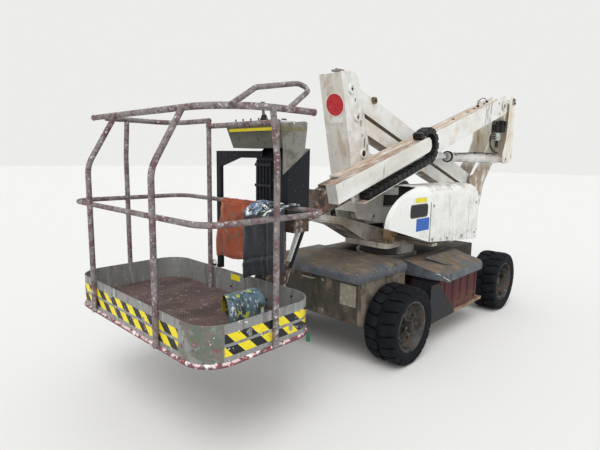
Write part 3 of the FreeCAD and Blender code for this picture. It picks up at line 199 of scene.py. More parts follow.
def worn_paint(name, base, old, grime_and_shade, top, streaks, chips):
    """Painted sheet: yellowed patches, streaks that run down, dirt on ledges, painted shade on its undersides and
    chips to the primer.
    """
    f = Finish(name, base, 0.42, coat=0.15)
    f.layer(old, (3, 6, 0.42, 0.62))
    f.layer(old, f.ramp(f.noise(26, 6, stretch=(1, 1, 0.16)), 0.5, 0.72, 0.0, 0.8))
    runs = f.patches(34, 7, 0.66 - 0.14 * streaks, 0.86 - 0.1 * streaks, (1.6, 1.6, 0.09))
    f.layer(GRIME, runs, (5, 5, 0.4, 0.6), 0.75 * streaks + 0.15, rough=0.7)
    ledge = f.both(f.ramp(f.facing, 0.35, 0.9), f.patches(9, 8, 0.62 - 0.3 * top, 0.7))
    f.layer(GRIME, ledge, top, rough=0.85)
    # painted shade: faces that point down are darkened for the shade under them
    under = f.both(f.ramp(f.facing, -0.3, -0.9), f.patches(7, 8, 0.35, 0.65))
    f.layer(DARK_GRIME_AND_SHADE, under, 0.35 + 0.4 * grime_and_shade, rough=0.8)
    f.layer(GRIME, (14, 9, 0.6, 0.74), 0.5 * grime_and_shade, rough=0.8)
    spots = f.both(f.patches(95, 3, 0.67, 0.7), f.patches(7, 5, 0.47, 0.6))
    f.layer(DARK_GRIME_AND_SHADE, spots, 0.8, rough=0.8)
    chip = f.both(f.patches(42, 8, 0.71 - 0.06 * chips, 0.73 - 0.06 * chips), chips)
    f.layer(RUST, chip, rough=0.9)
    f.raise_by(f.noise(3.5, 2), 0.004).raise_by(chip, -0.0006).raise_by(f.noise(260.0, 2), 0.0002)
    return f.done(0.6)


def white_cover():
    """Covers of the turret: clean glossy white in front of the seam, streaked and yellowed behind it."""
    f = Finish("cover_white", WHITE, 0.3, coat=0.3)
    behind = f.ramp(f.xyz("X"), SEAM_X - CENTRE_X + 0.002, SEAM_X - CENTRE_X - 0.002)
    f.layer(OLD_WHITE, behind, (7, 6, 0.4, 0.7), 0.7)
    runs = f.patches(40, 7, 0.53, 0.72, (1.5, 1.5, 0.1))
    f.layer(GRIME, behind, runs, (4, 5, 0.34, 0.6), 0.62, rough=0.7)
    f.layer(GRIME, behind, f.ramp(f.facing, 0.3, 0.95), (11, 8, 0.42, 0.62), 0.7, rough=0.8)
    f.layer(GRIME, (30, 6, 0.6, 0.75, (1, 1, 0.2)), 0.22, rough=0.6)
    low = f.ramp(f.xyz("Z"), 0.92, 0.78)
    f.layer(DARK_GRIME_AND_SHADE, low, (24, 8, 0.5, 0.66), 0.5, rough=0.8)
    spots = f.both(f.patches(80, 3, 0.69, 0.71), behind)
    f.layer(DARK_GRIME_AND_SHADE, spots, 0.8, rough=0.8)
    f.raise_by(f.noise(2.5, 2), 0.004).raise_by(f.noise(180.0, 2), 0.0002)
    return f.done(0.5)


def boom_paint(name, slope, smear=0.0):
    """Boom or riser: white sides, tan dust in long streaks on top, brown painted shade below."""
    f = Finish(name, WHITE, 0.42, coat=0.1)
    turn = (0, math.radians(slope), 0)
    f.layer(OLD_WHITE, f.ramp(f.noise(6, 6, stretch=(0.4, 1, 1), turn=turn), 0.44, 0.66, 0.0, 0.8))
    f.layer((206, 192, 168), (4, 7, 0.5, 0.66), 0.6)
    f.layer(GRIME, (36, 7, 0.6, 0.76, (1, 1, 0.16)), 0.5, rough=0.7)
    if smear:
        patch = f.both(f.band(f.xyz("X"), -1.82, -1.62, 0.03), f.patches(30, 6, 0.44, 0.6, (1, 1, 0.25)))
        f.layer((150, 142, 140), patch, smear, rough=0.7)
    above = f.ramp(f.facing, 0.3, 0.75)
    f.layer((186, 168, 150), above, f.patches(26, 6, 0.3, 0.55, (0.12, 1, 1), turn=turn), rough=0.85)
    f.layer((142, 112, 94), above, f.patches(44, 8, 0.48, 0.66, (0.1, 1, 1), turn=turn), 0.85, rough=0.9)
    f.layer((92, 70, 58), above, f.patches(70, 7, 0.6, 0.7, (0.2, 1, 1), turn=turn), 0.8, rough=0.9)
    # painted shade: faces that point down are painted brown for the shade under the boom and arms
    below = f.both(f.ramp(f.facing, -0.3, -0.8), f.patches(8, 7, 0.2, 0.5))
    f.layer((112, 90, 66), below, 0.85, rough=0.8)
    f.layer(DARK_GRIME_AND_SHADE, (90, 3, 0.68, 0.71), (6, 5, 0.45, 0.6), 0.8, rough=0.8)
    chip = f.patches(46, 8, 0.7, 0.72)
    f.layer(RUST, chip, 0.8, rough=0.9)
    f.raise_by(f.noise(3.5, 2), 0.003).raise_by(chip, -0.0006).raise_by(f.noise(220.0, 2), 0.0002)
    return f.done(0.6)


def post_paint():
    """Front post: white side plates with grey and yellow runs, front plate painted beige-grey as painted shade,
    with runs and paler patches over it.
    """
    f = Finish("post_white", WHITE, 0.45)
    f.layer(OLD_WHITE, (7, 6, 0.4, 0.62))
    f.layer((196, 180, 158), (20, 7, 0.5, 0.68, (1, 1, 0.2)), 0.7)
    f.layer(GRIME, (46, 7, 0.6, 0.74, (1, 1, 0.12)), 0.65, rough=0.7)
    # painted shade: faces that point forward are painted beige-grey for the shade on that side; the runs and paler
    # patches over it are its own tone
    front = f.ramp(f.axis(f.normal, "X"), 0.5, 0.8)
    f.layer((204, 200, 190), front, 0.95, rough=0.6)
    f.layer((182, 170, 154), front, (24, 7, 0.46, 0.64, (1, 1, 0.12)), rough=0.7)
    f.layer((214, 214, 206), front, (8, 6, 0.52, 0.66), 0.8, rough=0.5)
    f.layer(DARK_GRIME_AND_SHADE, (80, 3, 0.68, 0.71), 0.8, rough=0.8)
    f.raise_by(f.noise(3.0, 2), 0.004).raise_by(f.noise(200.0, 2), 0.0002)
    return f.done(0.6)


def knuckle_paint():
    """Rear knuckle: white gone beige, with yellow-brown runs from its bolts and edges."""
    f = Finish("knuckle_white", (222, 218, 208), 0.5)
    f.layer((206, 192, 164), (7, 7, 0.46, 0.66, (1, 1, 0.5)), 0.85)
    f.layer((178, 146, 112), (18, 8, 0.56, 0.7, (1, 1, 0.3)), 0.7, rough=0.8)
    f.layer(GRIME, (46, 7, 0.58, 0.72, (1, 1, 0.15)), 0.6, rough=0.7)
    low = f.ramp(f.xyz("Z"), 1.52, 1.40)
    f.layer((120, 92, 62), low, (9, 7, 0.3, 0.55), 0.7, rough=0.8)
    f.layer(DARK_GRIME_AND_SHADE, (85, 3, 0.68, 0.71), 0.8, rough=0.8)
    f.raise_by(f.noise(3.0, 2), 0.004).raise_by(f.noise(200.0, 2), 0.0002)
    return f.done(0.6)


def tray_paint():
    """Channel beside the boom: white sides, top caked in brown dust with long streaks."""
    f = Finish("tray_white", WHITE, 0.45)
    turn = (0, math.radians(16.6), 0)
    f.layer(OLD_WHITE, f.patches(5, 6, 0.4, 0.66, (0.3, 1, 1), turn=turn))
    f.layer(GRIME, (30, 7, 0.58, 0.72, (1, 1, 0.25)), 0.55, rough=0.7)
    above = f.ramp(f.facing, 0.3, 0.8)
    caked = f.patches(46, 6, 0.28, 0.52, (0.12, 1, 1), turn=turn)
    f.layer((150, 126, 108), above, caked, rough=0.9)
    f.layer((108, 82, 68), above, f.patches(60, 8, 0.56, 0.7, (0.1, 1, 1), turn=turn), rough=0.9)
    f.layer(SPLAT_WHITE, above, (70, 5, 0.64, 0.68), rough=0.6)
    f.layer(DARK_GRIME_AND_SHADE, (60, 5, 0.69, 0.72), 0.8, rough=0.8)
    f.raise_by(f.both(above, f.noise(50.0, 6, stretch=(0.2, 1, 1), turn=turn)), 0.002)
    return f.done(0.7)


def splattered_tube():
    """Rails of the cage: grey metal, maroon undercoat and thrown paint."""
    f = Finish("cage_tube", TUBE_GREY, 0.6, metal=0.1, shine=0.25)
    f.layer(TUBE_MAROON, f.patches(13, 8, 0.47, 0.6, rough=0.65), 0.85, rough=0.7)
    f.layer((86, 76, 76), f.patches(26, 8, 0.5, 0.62, rough=0.7), 0.85, rough=0.7)
    f.layer((176, 170, 168), f.patches(44, 7, 0.56, 0.64, rough=0.65), 0.85, rough=0.6)
    f.layer(SPLAT_WHITE, f.patches(62, 5, 0.61, 0.64, rough=0.7), f.patches(3.4, 5, 0.42, 0.6), rough=0.5)
    f.layer(SPLAT_BLUE, (48, 5, 0.66, 0.69), (2.6, 5, 0.5, 0.6), rough=0.5)
    f.layer(SPLAT_PINK, (54, 4, 0.68, 0.71), 0.8, rough=0.5)
    f.layer(DARK_GRIME_AND_SHADE, (75, 5, 0.66, 0.7), 0.8, rough=0.8)
    f.raise_by(f.noise(90.0, 5), 0.0012)
    return f.done(0.8)


def rim_tube_paint():
    f = Finish("rim_tube", TUBE_MAROON, 0.6)
    f.layer((128, 42, 44), (20, 6, 0.45, 0.6))
    f.layer((214, 190, 192), f.ramp(f.facing, -0.1, 0.6), (34, 7, 0.47, 0.55), rough=0.5)
    f.layer(SPLAT_WHITE, (28, 7, 0.6, 0.64), rough=0.5)
    f.layer(DARK_GRIME_AND_SHADE, (50, 5, 0.6, 0.68), 0.7, rough=0.8)
    f.raise_by(f.noise(80.0, 5), 0.0015)
    return f.done(0.8)


def striped_sheet():
    """Toe board: grey sheet, two rows of slanting yellow and black stripes outside, bare at the near corner."""
    f = Finish("toe_sheet", SHEET_GREY, 0.5, metal=0.35)
    x, y, z = f.xyz("X"), f.xyz("Y"), f.xyz("Z")
    f.layer((120, 120, 120), (30, 7, 0.5, 0.66, (1, 1, 0.14)), rough=0.6)
    f.layer((196, 196, 194), (44, 6, 0.56, 0.7, (1, 1, 0.1)), 0.7, rough=0.45)
    slant = f.math("ADD", f.math("SUBTRACT", y, x), z)
    wave = f.math("PINGPONG", slant, STRIPE_PITCH / 2)
    yellow = f.ramp(wave, STRIPE_PITCH / 4 - 0.0015, STRIPE_PITCH / 4 + 0.0015)
    rows = f.math("ADD", f.band(z, *STRIPE_ROWS[0]), f.band(z, *STRIPE_ROWS[1]))
    facing = outer_faces(f)
    away = f.math("MAXIMUM", f.ramp(y, BARE_Y + 0.01, BARE_Y - 0.01), f.ramp(x, BARE_X + 0.007, BARE_X - 0.007))
    worn = f.patches(11, 7, 0.66, 0.62)
    mask = f.both(rows, facing, away, worn)
    f.layer(STRIPE_BLACK, mask, rough=0.45)
    f.layer(STRIPE_YELLOW, mask, yellow, rough=0.45)
    corner = f.math("ADD", x, y)
    ragged = f.math("ADD", corner, f.both(f.math("SUBTRACT", f.noise(12, 7), 0.5), 0.35))
    tip = CAGE_FRONT + CAGE_SIDE - 0.16
    corner_only = f.both(facing, f.ramp(away, 0.9, 0.1), f.ramp(ragged, tip - 0.03, tip + 0.03))
    f.layer((94, 104, 92), corner_only, (9, 7, 0.32, 0.5), 0.9, rough=0.6)
    f.layer((118, 108, 100), corner_only, (21, 7, 0.5, 0.6), 0.8, rough=0.6)
    f.layer((138, 74, 76), corner_only, (18, 8, 0.58, 0.66), 0.8, rough=0.6)
    f.layer(SPLAT_PINK, (30, 6, 0.66, 0.7), 0.9, rough=0.5)
    f.layer(SPLAT_WHITE, (52, 6, 0.67, 0.7), rough=0.5)
    f.layer(DARK_GRIME_AND_SHADE, (60, 6, 0.62, 0.68), 0.6, rough=0.8)
    f.raise_by(f.noise(4.5, 3), 0.01).raise_by(f.noise(60.0, 4), 0.0006)
    return f.done(0.7)


def outer_faces(f):
    """1 on the outer faces of the toe board's front and left side, from where a face points."""
    nx, ny = f.axis(f.normal, "X"), f.axis(f.normal, "Y")
    front = f.both(f.ramp(nx, 0.2, 0.4), f.ramp(f.xyz("X"), CAGE_FRONT - 0.3, CAGE_FRONT - 0.2))
    side = f.both(f.ramp(ny, 0.2, 0.4), f.ramp(f.xyz("Y"), CAGE_SIDE - 0.3, CAGE_SIDE - 0.2))
    return f.math("MAXIMUM", front, side)


def tread_sheet():
    """Cage floor: brown sheet with rows of raised teeth and small holes, painted dark as painted shade."""
    f = Finish("floor_brown", FLOOR_BROWN, 0.8, metal=0.2)
    f.layer((84, 68, 66), (6, 7, 0.42, 0.6))
    f.layer((150, 134, 128), (24, 7, 0.56, 0.68), 0.7)
    f.layer(SPLAT_WHITE, (38, 6, 0.66, 0.69), (3, 5, 0.5, 0.6), rough=0.6)
    across = f.math("PINGPONG", f.xyz("X"), 0.009)
    along = f.math("PINGPONG", f.xyz("Y"), 0.014)
    # painted shade: the holes are painted near black for the shade inside them, as well as pressed in
    hole = f.both(f.ramp(across, 0.0052, 0.0066), f.ramp(along, 0.0080, 0.0100))
    rough_band = f.ramp(f.math("PINGPONG", f.xyz("Y"), 0.11), 0.045, 0.05)
    f.layer((40, 30, 28), hole, f.ramp(rough_band, 0.0, 1.0, 0.45, 1.0), rough=0.9)
    f.raise_by(hole, -0.004).raise_by(f.both(rough_band, f.ramp(across, 0.002, 0.006)), 0.003)
    return f.done(0.8)


def rubber():
    f = Finish("tyre_rubber", RUBBER, 0.75, shine=0.14)
    f.layer((27, 29, 34), (9, 7, 0.45, 0.62), 0.7, rough=0.85)
    f.layer((66, 62, 58), (36, 8, 0.64, 0.74), 0.45, rough=0.95)
    f.layer((14, 15, 18), (16, 5, 0.56, 0.7), 0.8, rough=0.6)
    f.raise_by(f.noise(120.0, 5), 0.0008).raise_by(f.noise(18.0, 4), 0.002)
    return f.done(0.8)


def wheel_paint():
    f = Finish("wheel_grey", WHEEL_GREY, 0.6, metal=0.1, shine=0.2)
    f.layer((92, 66, 52), (15, 8, 0.53, 0.66), 0.9, rough=0.9)
    f.layer((34, 31, 29), (9, 7, 0.46, 0.62), 0.9, rough=0.9)
    f.layer((120, 108, 92), (28, 7, 0.55, 0.68), 0.7, rough=0.9)
    f.raise_by(f.noise(70.0, 6), 0.0015)
    return f.done(0.8)


def dusty_lid():
    """Moulded blue-grey lids, brown with trodden dirt on top."""
    f = Finish("lid_grey", LID_GREY, 0.5, shine=0.25)
    f.layer((94, 97, 101), (12, 7, 0.5, 0.66), rough=0.5)
    above = f.ramp(f.facing, 0.72, 0.97)
    f.layer((100, 90, 79), above, (5, 7, 0.34, 0.55), rough=0.9)
    f.layer((122, 104, 88), above, (16, 8, 0.5, 0.62, (1, 0.4, 1)), rough=0.9)
    f.layer((58, 56, 54), (19, 8, 0.6, 0.7), 0.8, rough=0.8)
    f.layer((190, 192, 194), (90, 3, 0.7, 0.72), 0.8, rough=0.6)
    f.layer(DARK_GRIME_AND_SHADE, (85, 3, 0.68, 0.7), 0.8, rough=0.8)
    f.raise_by(f.noise(4.0, 3), 0.006).raise_by(f.noise(140.0, 4), 0.0005)
    return f.done(0.7)


def muddy(name, base, mud, rough=0.75, metal=0.0, amount=0.5, sides=0.0):
    """Dark painted metal under dried mud, thickest low down; sides adds dust on what faces left and right."""
    f = Finish(name, base, rough, metal, shine=0.25)
    if sides:
        across = f.ramp(f.math("ABSOLUTE", f.axis(f.normal, "Y")), 0.5, 0.8)
        f.layer((128, 118, 104), across, (5, 7, 0.36, 0.56), sides, rough=0.9)
    f.layer(mud, (7, 8, 0.62 - 0.24 * amount, 0.66), 0.85, rough=0.95)
    f.layer(DARK_GRIME_AND_SHADE, (12, 7, 0.5, 0.64, (1, 1, 0.3)), 0.8, rough=0.85)
    low = f.ramp(f.xyz("Z"), 0.45, 0.25)
    f.layer(mud, low, (18, 8, 0.4, 0.6), 0.6, rough=0.95)
    f.layer(RUST, (33, 8, 0.63, 0.67), 0.8, rough=0.9)
    f.layer((168, 160, 148), (110, 4, 0.66, 0.7), 0.5, rough=0.9)
    f.raise_by(f.noise(40.0, 7), 0.0025)
    return f.done(0.7)


def boxed_maroon():
    f = Finish("box_maroon", MAROON, 0.5, shine=0.18)
    f.layer((56, 18, 22), (24, 6, 0.46, 0.64, (1, 1, 0.15)))
    low = f.ramp(f.xyz("Z"), 0.4, 0.27)
    f.layer(GRIME, low, (20, 8, 0.4, 0.6), 0.6, rough=0.9)
    f.layer(DARK_GRIME_AND_SHADE, (40, 7, 0.6, 0.7), 0.6, rough=0.8)
    f.raise_by(f.noise(30.0, 5), 0.001)
    return f.done()


def drum_paint():
    """Drum under the turret: dirty white at its sides, black with grease in front."""
    f = Finish("drum_white", (176, 172, 164), 0.6)
    f.layer((132, 120, 106), (16, 7, 0.46, 0.64, (1, 1, 0.3)))
    ahead = f.ramp(f.math("ADD", f.xyz("X"), f.both(f.noise(9, 6), 0.12)), 0.13, 0.19)
    f.layer((52, 46, 42), ahead, 0.92, rough=0.8)
    f.layer(DARK_GRIME_AND_SHADE, (30, 7, 0.56, 0.66), 0.8, rough=0.8)
    f.raise_by(f.noise(50.0, 6), 0.001)
    return f.done(0.7)


def sill_paint():
    """Step beside the box, beige with dried mud; its skirt behind the front wheel blue-black."""
    f = Finish("sill_beige", STEP_BEIGE, 0.8, shine=0.18)
    f.layer((118, 88, 68), (7, 8, 0.42, 0.6), 0.85, rough=0.95)
    f.layer((166, 142, 122), (24, 8, 0.56, 0.68), 0.8, rough=0.95)
    f.layer(DARK_GRIME_AND_SHADE, (12, 7, 0.54, 0.66, (1, 1, 0.3)), 0.7, rough=0.85)
    skirt = f.math("MAXIMUM", f.ramp(f.xyz("X"), -0.045, -0.035), f.ramp(f.xyz("Z"), 0.240, 0.244))
    f.layer((38, 41, 47), skirt, rough=0.6)
    f.layer((58, 54, 51), skirt, (14, 8, 0.5, 0.64, (1, 1, 0.4)), 0.8, rough=0.9)
    f.layer(RUST, skirt, (36, 8, 0.64, 0.68), 0.6, rough=0.9)
    f.raise_by(f.noise(40.0, 7), 0.0025)
    return f.done(0.7)


def greasy_inner():
    """Inner boom and the bracket at its head: worn dark paint, brown grease and beige dust."""
    f = Finish("inner_grey", (96, 86, 74), 0.6, metal=0.1)
    f.layer((54, 46, 40), (9, 8, 0.42, 0.58), rough=0.7)
    f.layer((176, 158, 138), (13, 8, 0.57, 0.66), 0.8, rough=0.8)
    f.layer(RUST, (28, 8, 0.56, 0.64), 0.8, rough=0.9)
    f.layer(SPLAT_WHITE, (50, 6, 0.69, 0.71), rough=0.6)
    f.raise_by(f.noise(60.0, 6), 0.0018)
    return f.done(0.8)


def mast_paint():
    f = Finish("mast_black", MAST_BLACK, 0.55, shine=0.2)
    f.layer((24, 25, 28), (26, 6, 0.46, 0.6, (1, 1, 0.1)))
    f.layer((70, 72, 76), (34, 7, 0.62, 0.72, (1, 1, 0.2)), 0.6, rough=0.8)
    f.layer(SPLAT_WHITE, (90, 4, 0.71, 0.73), 0.8, rough=0.6)
    f.raise_by(f.noise(60.0, 5), 0.0008)
    return f.done()


def console_paint():
    """Control box: olive-grey, its left-facing end painted paler as painted light, an olive band under the desk,
    splashes on top.
    """
    f = Finish("console_grey", CONSOLE_OLIVE, 0.55, shine=0.25)
    # painted light: faces that point to the machine's left are painted paler, for the light that falls on that end
    left = f.ramp(f.axis(f.normal, "Y"), 0.5, 0.8)
    f.layer((136, 134, 126), left, 0.8)
    f.layer((96, 96, 84), (12, 7, 0.46, 0.62, (1, 0.4, 1)))
    strip = f.both(f.band(f.xyz("Z"), 1.664, 1.69, 0.002), f.patches(46, 6, 0.62, 0.5))
    f.layer((112, 104, 72), strip, 0.8, rough=0.6)
    f.layer(DARK_GRIME_AND_SHADE, (40, 7, 0.6, 0.68), 0.7, rough=0.8)
    f.layer(SPLAT_WHITE, (34, 6, 0.7, 0.73), rough=0.5)
    top = f.ramp(f.facing, 0.5, 0.8)
    f.layer(SPLAT_BLUE, top, (26, 6, 0.5, 0.56), rough=0.5)
    f.layer(SPLAT_WHITE, top, (34, 6, 0.54, 0.6), rough=0.5)
    f.raise_by(f.noise(50.0, 5), 0.001)
    return f.done(0.7)


def hood_paint():
    """Foot switch hood: blue, thick with thrown white and yellow paint."""
    f = Finish("hood_blue", HOOD_BLUE, 0.4)
    f.layer((58, 74, 84), (14, 7, 0.5, 0.62, (1, 1, 0.4)))
    f.layer((190, 196, 60), (20, 6, 0.59, 0.63), rough=0.5)
    f.layer(SPLAT_WHITE, f.patches(40, 8, 0.57, 0.62, (1, 1, 0.4), rough=0.7), rough=0.4)
    low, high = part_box("foot_switch_hood")
    out_y = f.both(f.math("SUBTRACT", f.xyz("Y"), (low[1] + high[1]) / 2), f.axis(f.normal, "Y"))
    out_z = f.both(f.math("SUBTRACT", f.xyz("Z"), low[2]), f.axis(f.normal, "Z"))
    f.layer((188, 170, 48), f.ramp(f.math("ADD", out_y, out_z), 0.0, -0.01), 0.9, rough=0.6)
    f.layer(DARK_GRIME_AND_SHADE, (46, 7, 0.6, 0.68), 0.7, rough=0.8)
    f.raise_by(f.noise(60.0, 6), 0.002)
    return f.done(0.8)


def plain_worn(name, base, rough=0.6, metal=0.0, wear=DARK_GRIME_AND_SHADE, amount=0.6, scale=30.0, height=0.0008):
    """Small fittings: one colour with worn and dusty patches."""
    f = Finish(name, base, rough, metal, shine=0.3)
    f.layer(wear, (scale, 7, 0.52, 0.66), amount, rough=0.85)
    f.layer(DUST, (scale * 0.6, 8, 0.6, 0.7), amount * 0.6, rough=0.9)
    f.raise_by(f.noise(scale * 3, 5), height)
    return f.done(0.7)


def canvas_cloth():
    """Orange canvas: coarse weave, stains and sun-bleached folds."""
    f = Finish("canvas_orange", CANVAS, 0.9, shine=0.15)
    f.bsdf.inputs["Sheen Weight"].default_value = 0.25
    f.layer((186, 104, 66), (8, 7, 0.52, 0.68))
    f.layer((108, 54, 34), (11, 8, 0.48, 0.64), 0.8)
    f.layer((92, 84, 66), (16, 8, 0.58, 0.68), 0.7)
    f.layer((58, 44, 38), (60, 4, 0.68, 0.71), 0.8)
    weave = f.math("ADD", f.math("PINGPONG", f.xyz("Y"), 0.0012), f.math("PINGPONG", f.xyz("Z"), 0.0012))
    f.raise_by(weave, 0.35).raise_by(f.noise(14.0, 5), 0.006)
    return f.done(0.6)


def padded_black():
    """Mat over the rail: navy-black coated cloth, thrown paint on its fold."""
    f = Finish("mat_navy", MAT_NAVY, 0.6, shine=0.25)
    f.bsdf.inputs["Sheen Weight"].default_value = 0.15
    f.layer((38, 41, 46), (9, 6, 0.45, 0.62))
    f.layer((74, 78, 86), (22, 7, 0.58, 0.7, (1, 1, 0.4)), 0.6)
    fold = f.ramp(f.math("ADD", f.xyz("Z"), f.both(f.noise(30, 6), 0.1)), 1.205, 1.235)
    f.layer(SPLAT_BLUE, fold, f.ramp(f.xyz("Y"), 0.33, 0.26), (20, 6, 0.44, 0.5), rough=0.5)
    f.layer((120, 142, 150), fold, (28, 7, 0.52, 0.58), rough=0.5)
    f.layer(SPLAT_WHITE, fold, (36, 7, 0.56, 0.6), rough=0.5)
    f.layer(DUST, (100, 4, 0.68, 0.71), 0.6)
    f.raise_by(f.noise(6.0, 4), 0.006).raise_by(f.noise(90.0, 4), 0.0005)
    return f.done(0.7)


# Values that finishes and pieces share; those of the cage are in the frame's coordinates
CAGE_BACK = 1.95 - CENTRE_X
CAGE_FRONT = 2.70 - CENTRE_X
CAGE_SIDE = 0.72
CAGE_CORNER = 0.16
CAGE_Z = 0.552
TOE_TOP = 0.747
STRIPE_PITCH = 0.145
STRIPE_ROWS = ((0.590, 0.637), (0.652, 0.699))
# where the stripes stop, short of the near corner
BARE_X, BARE_Y = CAGE_FRONT - 0.115, CAGE_SIDE - 0.215
# the cover's seam, in machine metres
SEAM_X = 0.270

FINISHES = {
    "white": worn_paint("worn_white", WHITE, OLD_WHITE, grime_and_shade=0.6, top=0.8, streaks=0.6, chips=0.5),
    "boom": boom_paint("boom_white", 16.6, 0.9),
    "riser": boom_paint("riser_white", -18.0),
    "arm": boom_paint("arm_white", -3.2),
    "post": post_paint(),
    "knuckle": knuckle_paint(),
    "turret": worn_paint("turret_white", (196, 192, 182), (150, 138, 122), grime_and_shade=1.0, top=1.0,
                         streaks=1.0, chips=0.8),
    "drum": drum_paint(),
    "sill": sill_paint(),
    "cover": white_cover(),
    "tray": tray_paint(),
    "tube": splattered_tube(),
    "rim_tube": rim_tube_paint(),
    "toe": striped_sheet(),
    "floor": tread_sheet(),
    "rubber": rubber(),
    "wheel": wheel_paint(),
    "lid": dusty_lid(),
    "frame": muddy("frame_olive", OLIVE, (100, 90, 76), amount=0.45),
    "housing": muddy("housing_olive", OLIVE, (112, 102, 88), amount=0.4, sides=0.85),
    "axle": muddy("axle_dark", (44, 42, 40), (92, 80, 66), 0.7, 0.3, 0.6),
    "step": muddy("step_beige", STEP_BEIGE, (112, 84, 62), 0.8, 0.0, 0.7),
    "maroon": boxed_maroon(),
    "inner": greasy_inner(),
    "mast": mast_paint(),
    "console": console_paint(),
    "hood": hood_paint(),
    "black": plain_worn("black_fitting_and_shade", (22, 23, 26), 0.5),
    "chain": plain_worn("chain_black", (22, 23, 26), 0.5, wear=(58, 52, 46)),
    "steel": plain_worn("worn_steel", (150, 146, 140), 0.4, 0.8, RUST, 0.7, 40.0),
    "chrome": plain_worn("rod_chrome", (196, 196, 198), 0.15, 1.0, (120, 110, 100), 0.35, 18.0,
                         0.0001),
    "motor": plain_worn("motor_beige", (146, 122, 94), 0.6, 0.2, DARK_GRIME_AND_SHADE, 0.9, 22.0),
    "valve": plain_worn("valve_green", (176, 190, 176), 0.45, 0.4, DARK_GRIME_AND_SHADE, 0.6, 40.0),
    "canvas": canvas_cloth(),
    "mat": padded_black(),
    "blue": plain_worn("label_blue", (30, 92, 176), 0.4, 0.0, (20, 60, 120), 0.4, 60.0, 0.0),
    "yellow": plain_worn("label_yellow", (226, 210, 40), 0.4, 0.0, (150, 132, 40), 0.5, 70.0,
                         0.0),
    "red": plain_worn("disc_red", (184, 34, 44), 0.35, 0.0, (120, 24, 30), 0.4, 60.0, 0.0),
    "green": plain_worn("stub_green", (20, 104, 62), 0.5, 0.0, DARK_GRIME_AND_SHADE, 0.5, 60.0, 0.0003),
    "smear": plain_worn("smeared_plate", (124, 120, 106), 0.6, 0.0, (158, 152, 138), 0.8, 30.0,
                        0.0004),
    "plate": plain_worn("plate_white", (222, 220, 214), 0.4, 0.0, GRIME, 0.4, 50.0, 0.0002),
}


# Making pieces

def linked(name, data):
    obj = bpy.data.objects.new(name, data)
    bpy.context.scene.collection.objects.link(obj)
    return obj


def shaded(mesh, angle=38.0):
    for old in ("custom_normal", "sharp_face", "sharp_edge"):
        if old in mesh.attributes:
            mesh.attributes.remove(mesh.attributes[old])
    mesh.shade_smooth()
    mesh.set_sharp_from_angle(angle=math.radians(angle))


def piece(name, bm, body, finish, replaces=(), bevel=0.0, recalc=True, angle=38.0):
    """Finished piece from a bmesh or several: rides on its body and wears its finish."""
    if isinstance(bm, list):
        bm = joined(bm)
    if recalc:
        bmesh.ops.recalc_face_normals(bm, faces=bm.faces)
    mesh = bpy.data.meshes.new(name)
    bm.to_mesh(mesh)
    bm.free()
    shaded(mesh, angle)
    obj = linked(name, mesh)
    mesh.materials.clear()
    mesh.materials.append(FINISHES[finish])
    if bevel:
        mod = obj.modifiers.new("edges", "BEVEL")
        mod.width = bevel
        mod.segments = 2
        mod.limit_method = "ANGLE"
        mod.angle_limit = math.radians(35.0)
        mod.harden_normals = False
    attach(obj, body)
    if replaces:
        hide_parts(*replaces)
    return obj


NODE_BODY = {n: b for b, names in frame["record"]["behaviour"]["bodies"].items() for n in names}


def node_copy(node):
    """The CAD node's mesh with its loose triangles merged and its flat faces joined."""
    bm = bmesh.new()
    bm.from_mesh(nodes[node].data)
    bmesh.ops.remove_doubles(bm, verts=bm.verts, dist=0.00002)
    bmesh.ops.dissolve_limit(bm, angle_limit=math.radians(0.6), verts=bm.verts, edges=bm.edges)
    return bm


def dress(node, finish, bevel):
    """Same form as the CAD node, with rounded edges and smooth curves."""
    piece(node + "_dressed", node_copy(node), NODE_BODY[node], finish, (node,), bevel,
          recalc=False)


def joined(parts):
    out = bmesh.new()
    for bm in parts:
        mesh = bpy.data.meshes.new("part")
        bm.to_mesh(mesh)
        bm.free()
        out.from_mesh(mesh)
        bpy.data.meshes.remove(mesh)
    return out


def moved(bm, place, *turns):
    """Turned about the origin, each turn an axis and its degrees, then carried to place."""
    for axis, degrees in turns:
        turn = Matrix.Rotation(math.radians(degrees), 3, axis)
        bmesh.ops.rotate(bm, cent=(0, 0, 0), matrix=turn, verts=bm.verts)
    bmesh.ops.translate(bm, vec=place, verts=bm.verts)
    return bm


def mirrored(bm):
    bmesh.ops.scale(bm, vec=(1, -1, 1), verts=bm.verts)
    return bm


def sliced(bm, place, way):
    """Edges added where an upright or level plane crosses the mesh."""
    geom = list(bm.verts) + list(bm.edges) + list(bm.faces)
    bmesh.ops.bisect_plane(bm, geom=geom, plane_co=place, plane_no=way, dist=0.00001)


def grown(result, kind):
    """Vertices or edges that an extrusion made."""
    return [g for g in result["geom"] if isinstance(g, kind)]


def block(low, high):
    bm = bmesh.new()
    bmesh.ops.create_cube(bm, size=1.0)
    low, high = Vector(low), Vector(high)
    bmesh.ops.scale(bm, vec=high - low, verts=bm.verts)
    return moved(bm, (low + high) / 2)


def softened(bm, width, segments=3):
    """Rounds the sharper edges of a mesh."""
    edges = [e for e in bm.edges if e.is_manifold and e.calc_face_angle(0.0) > math.radians(30.0)]
    bmesh.ops.bevel(bm, geom=edges, offset=width, segments=segments, profile=0.5, affect="EDGES", material=-1,
                    clamp_overlap=True)
    return bm


def bar(a, b, r, count=24, r_end=None):
    """Round bar from a to b."""
    a, b = Vector(a), Vector(b)
    bm = bmesh.new()
    bmesh.ops.create_cone(bm, cap_ends=True, segments=count, radius1=r, radius2=r if r_end is None else r_end,
                          depth=(b - a).length)
    turn = UP.rotation_difference(b - a).to_matrix()
    bmesh.ops.rotate(bm, cent=(0, 0, 0), matrix=turn, verts=bm.verts)
    return moved(bm, (a + b) / 2)


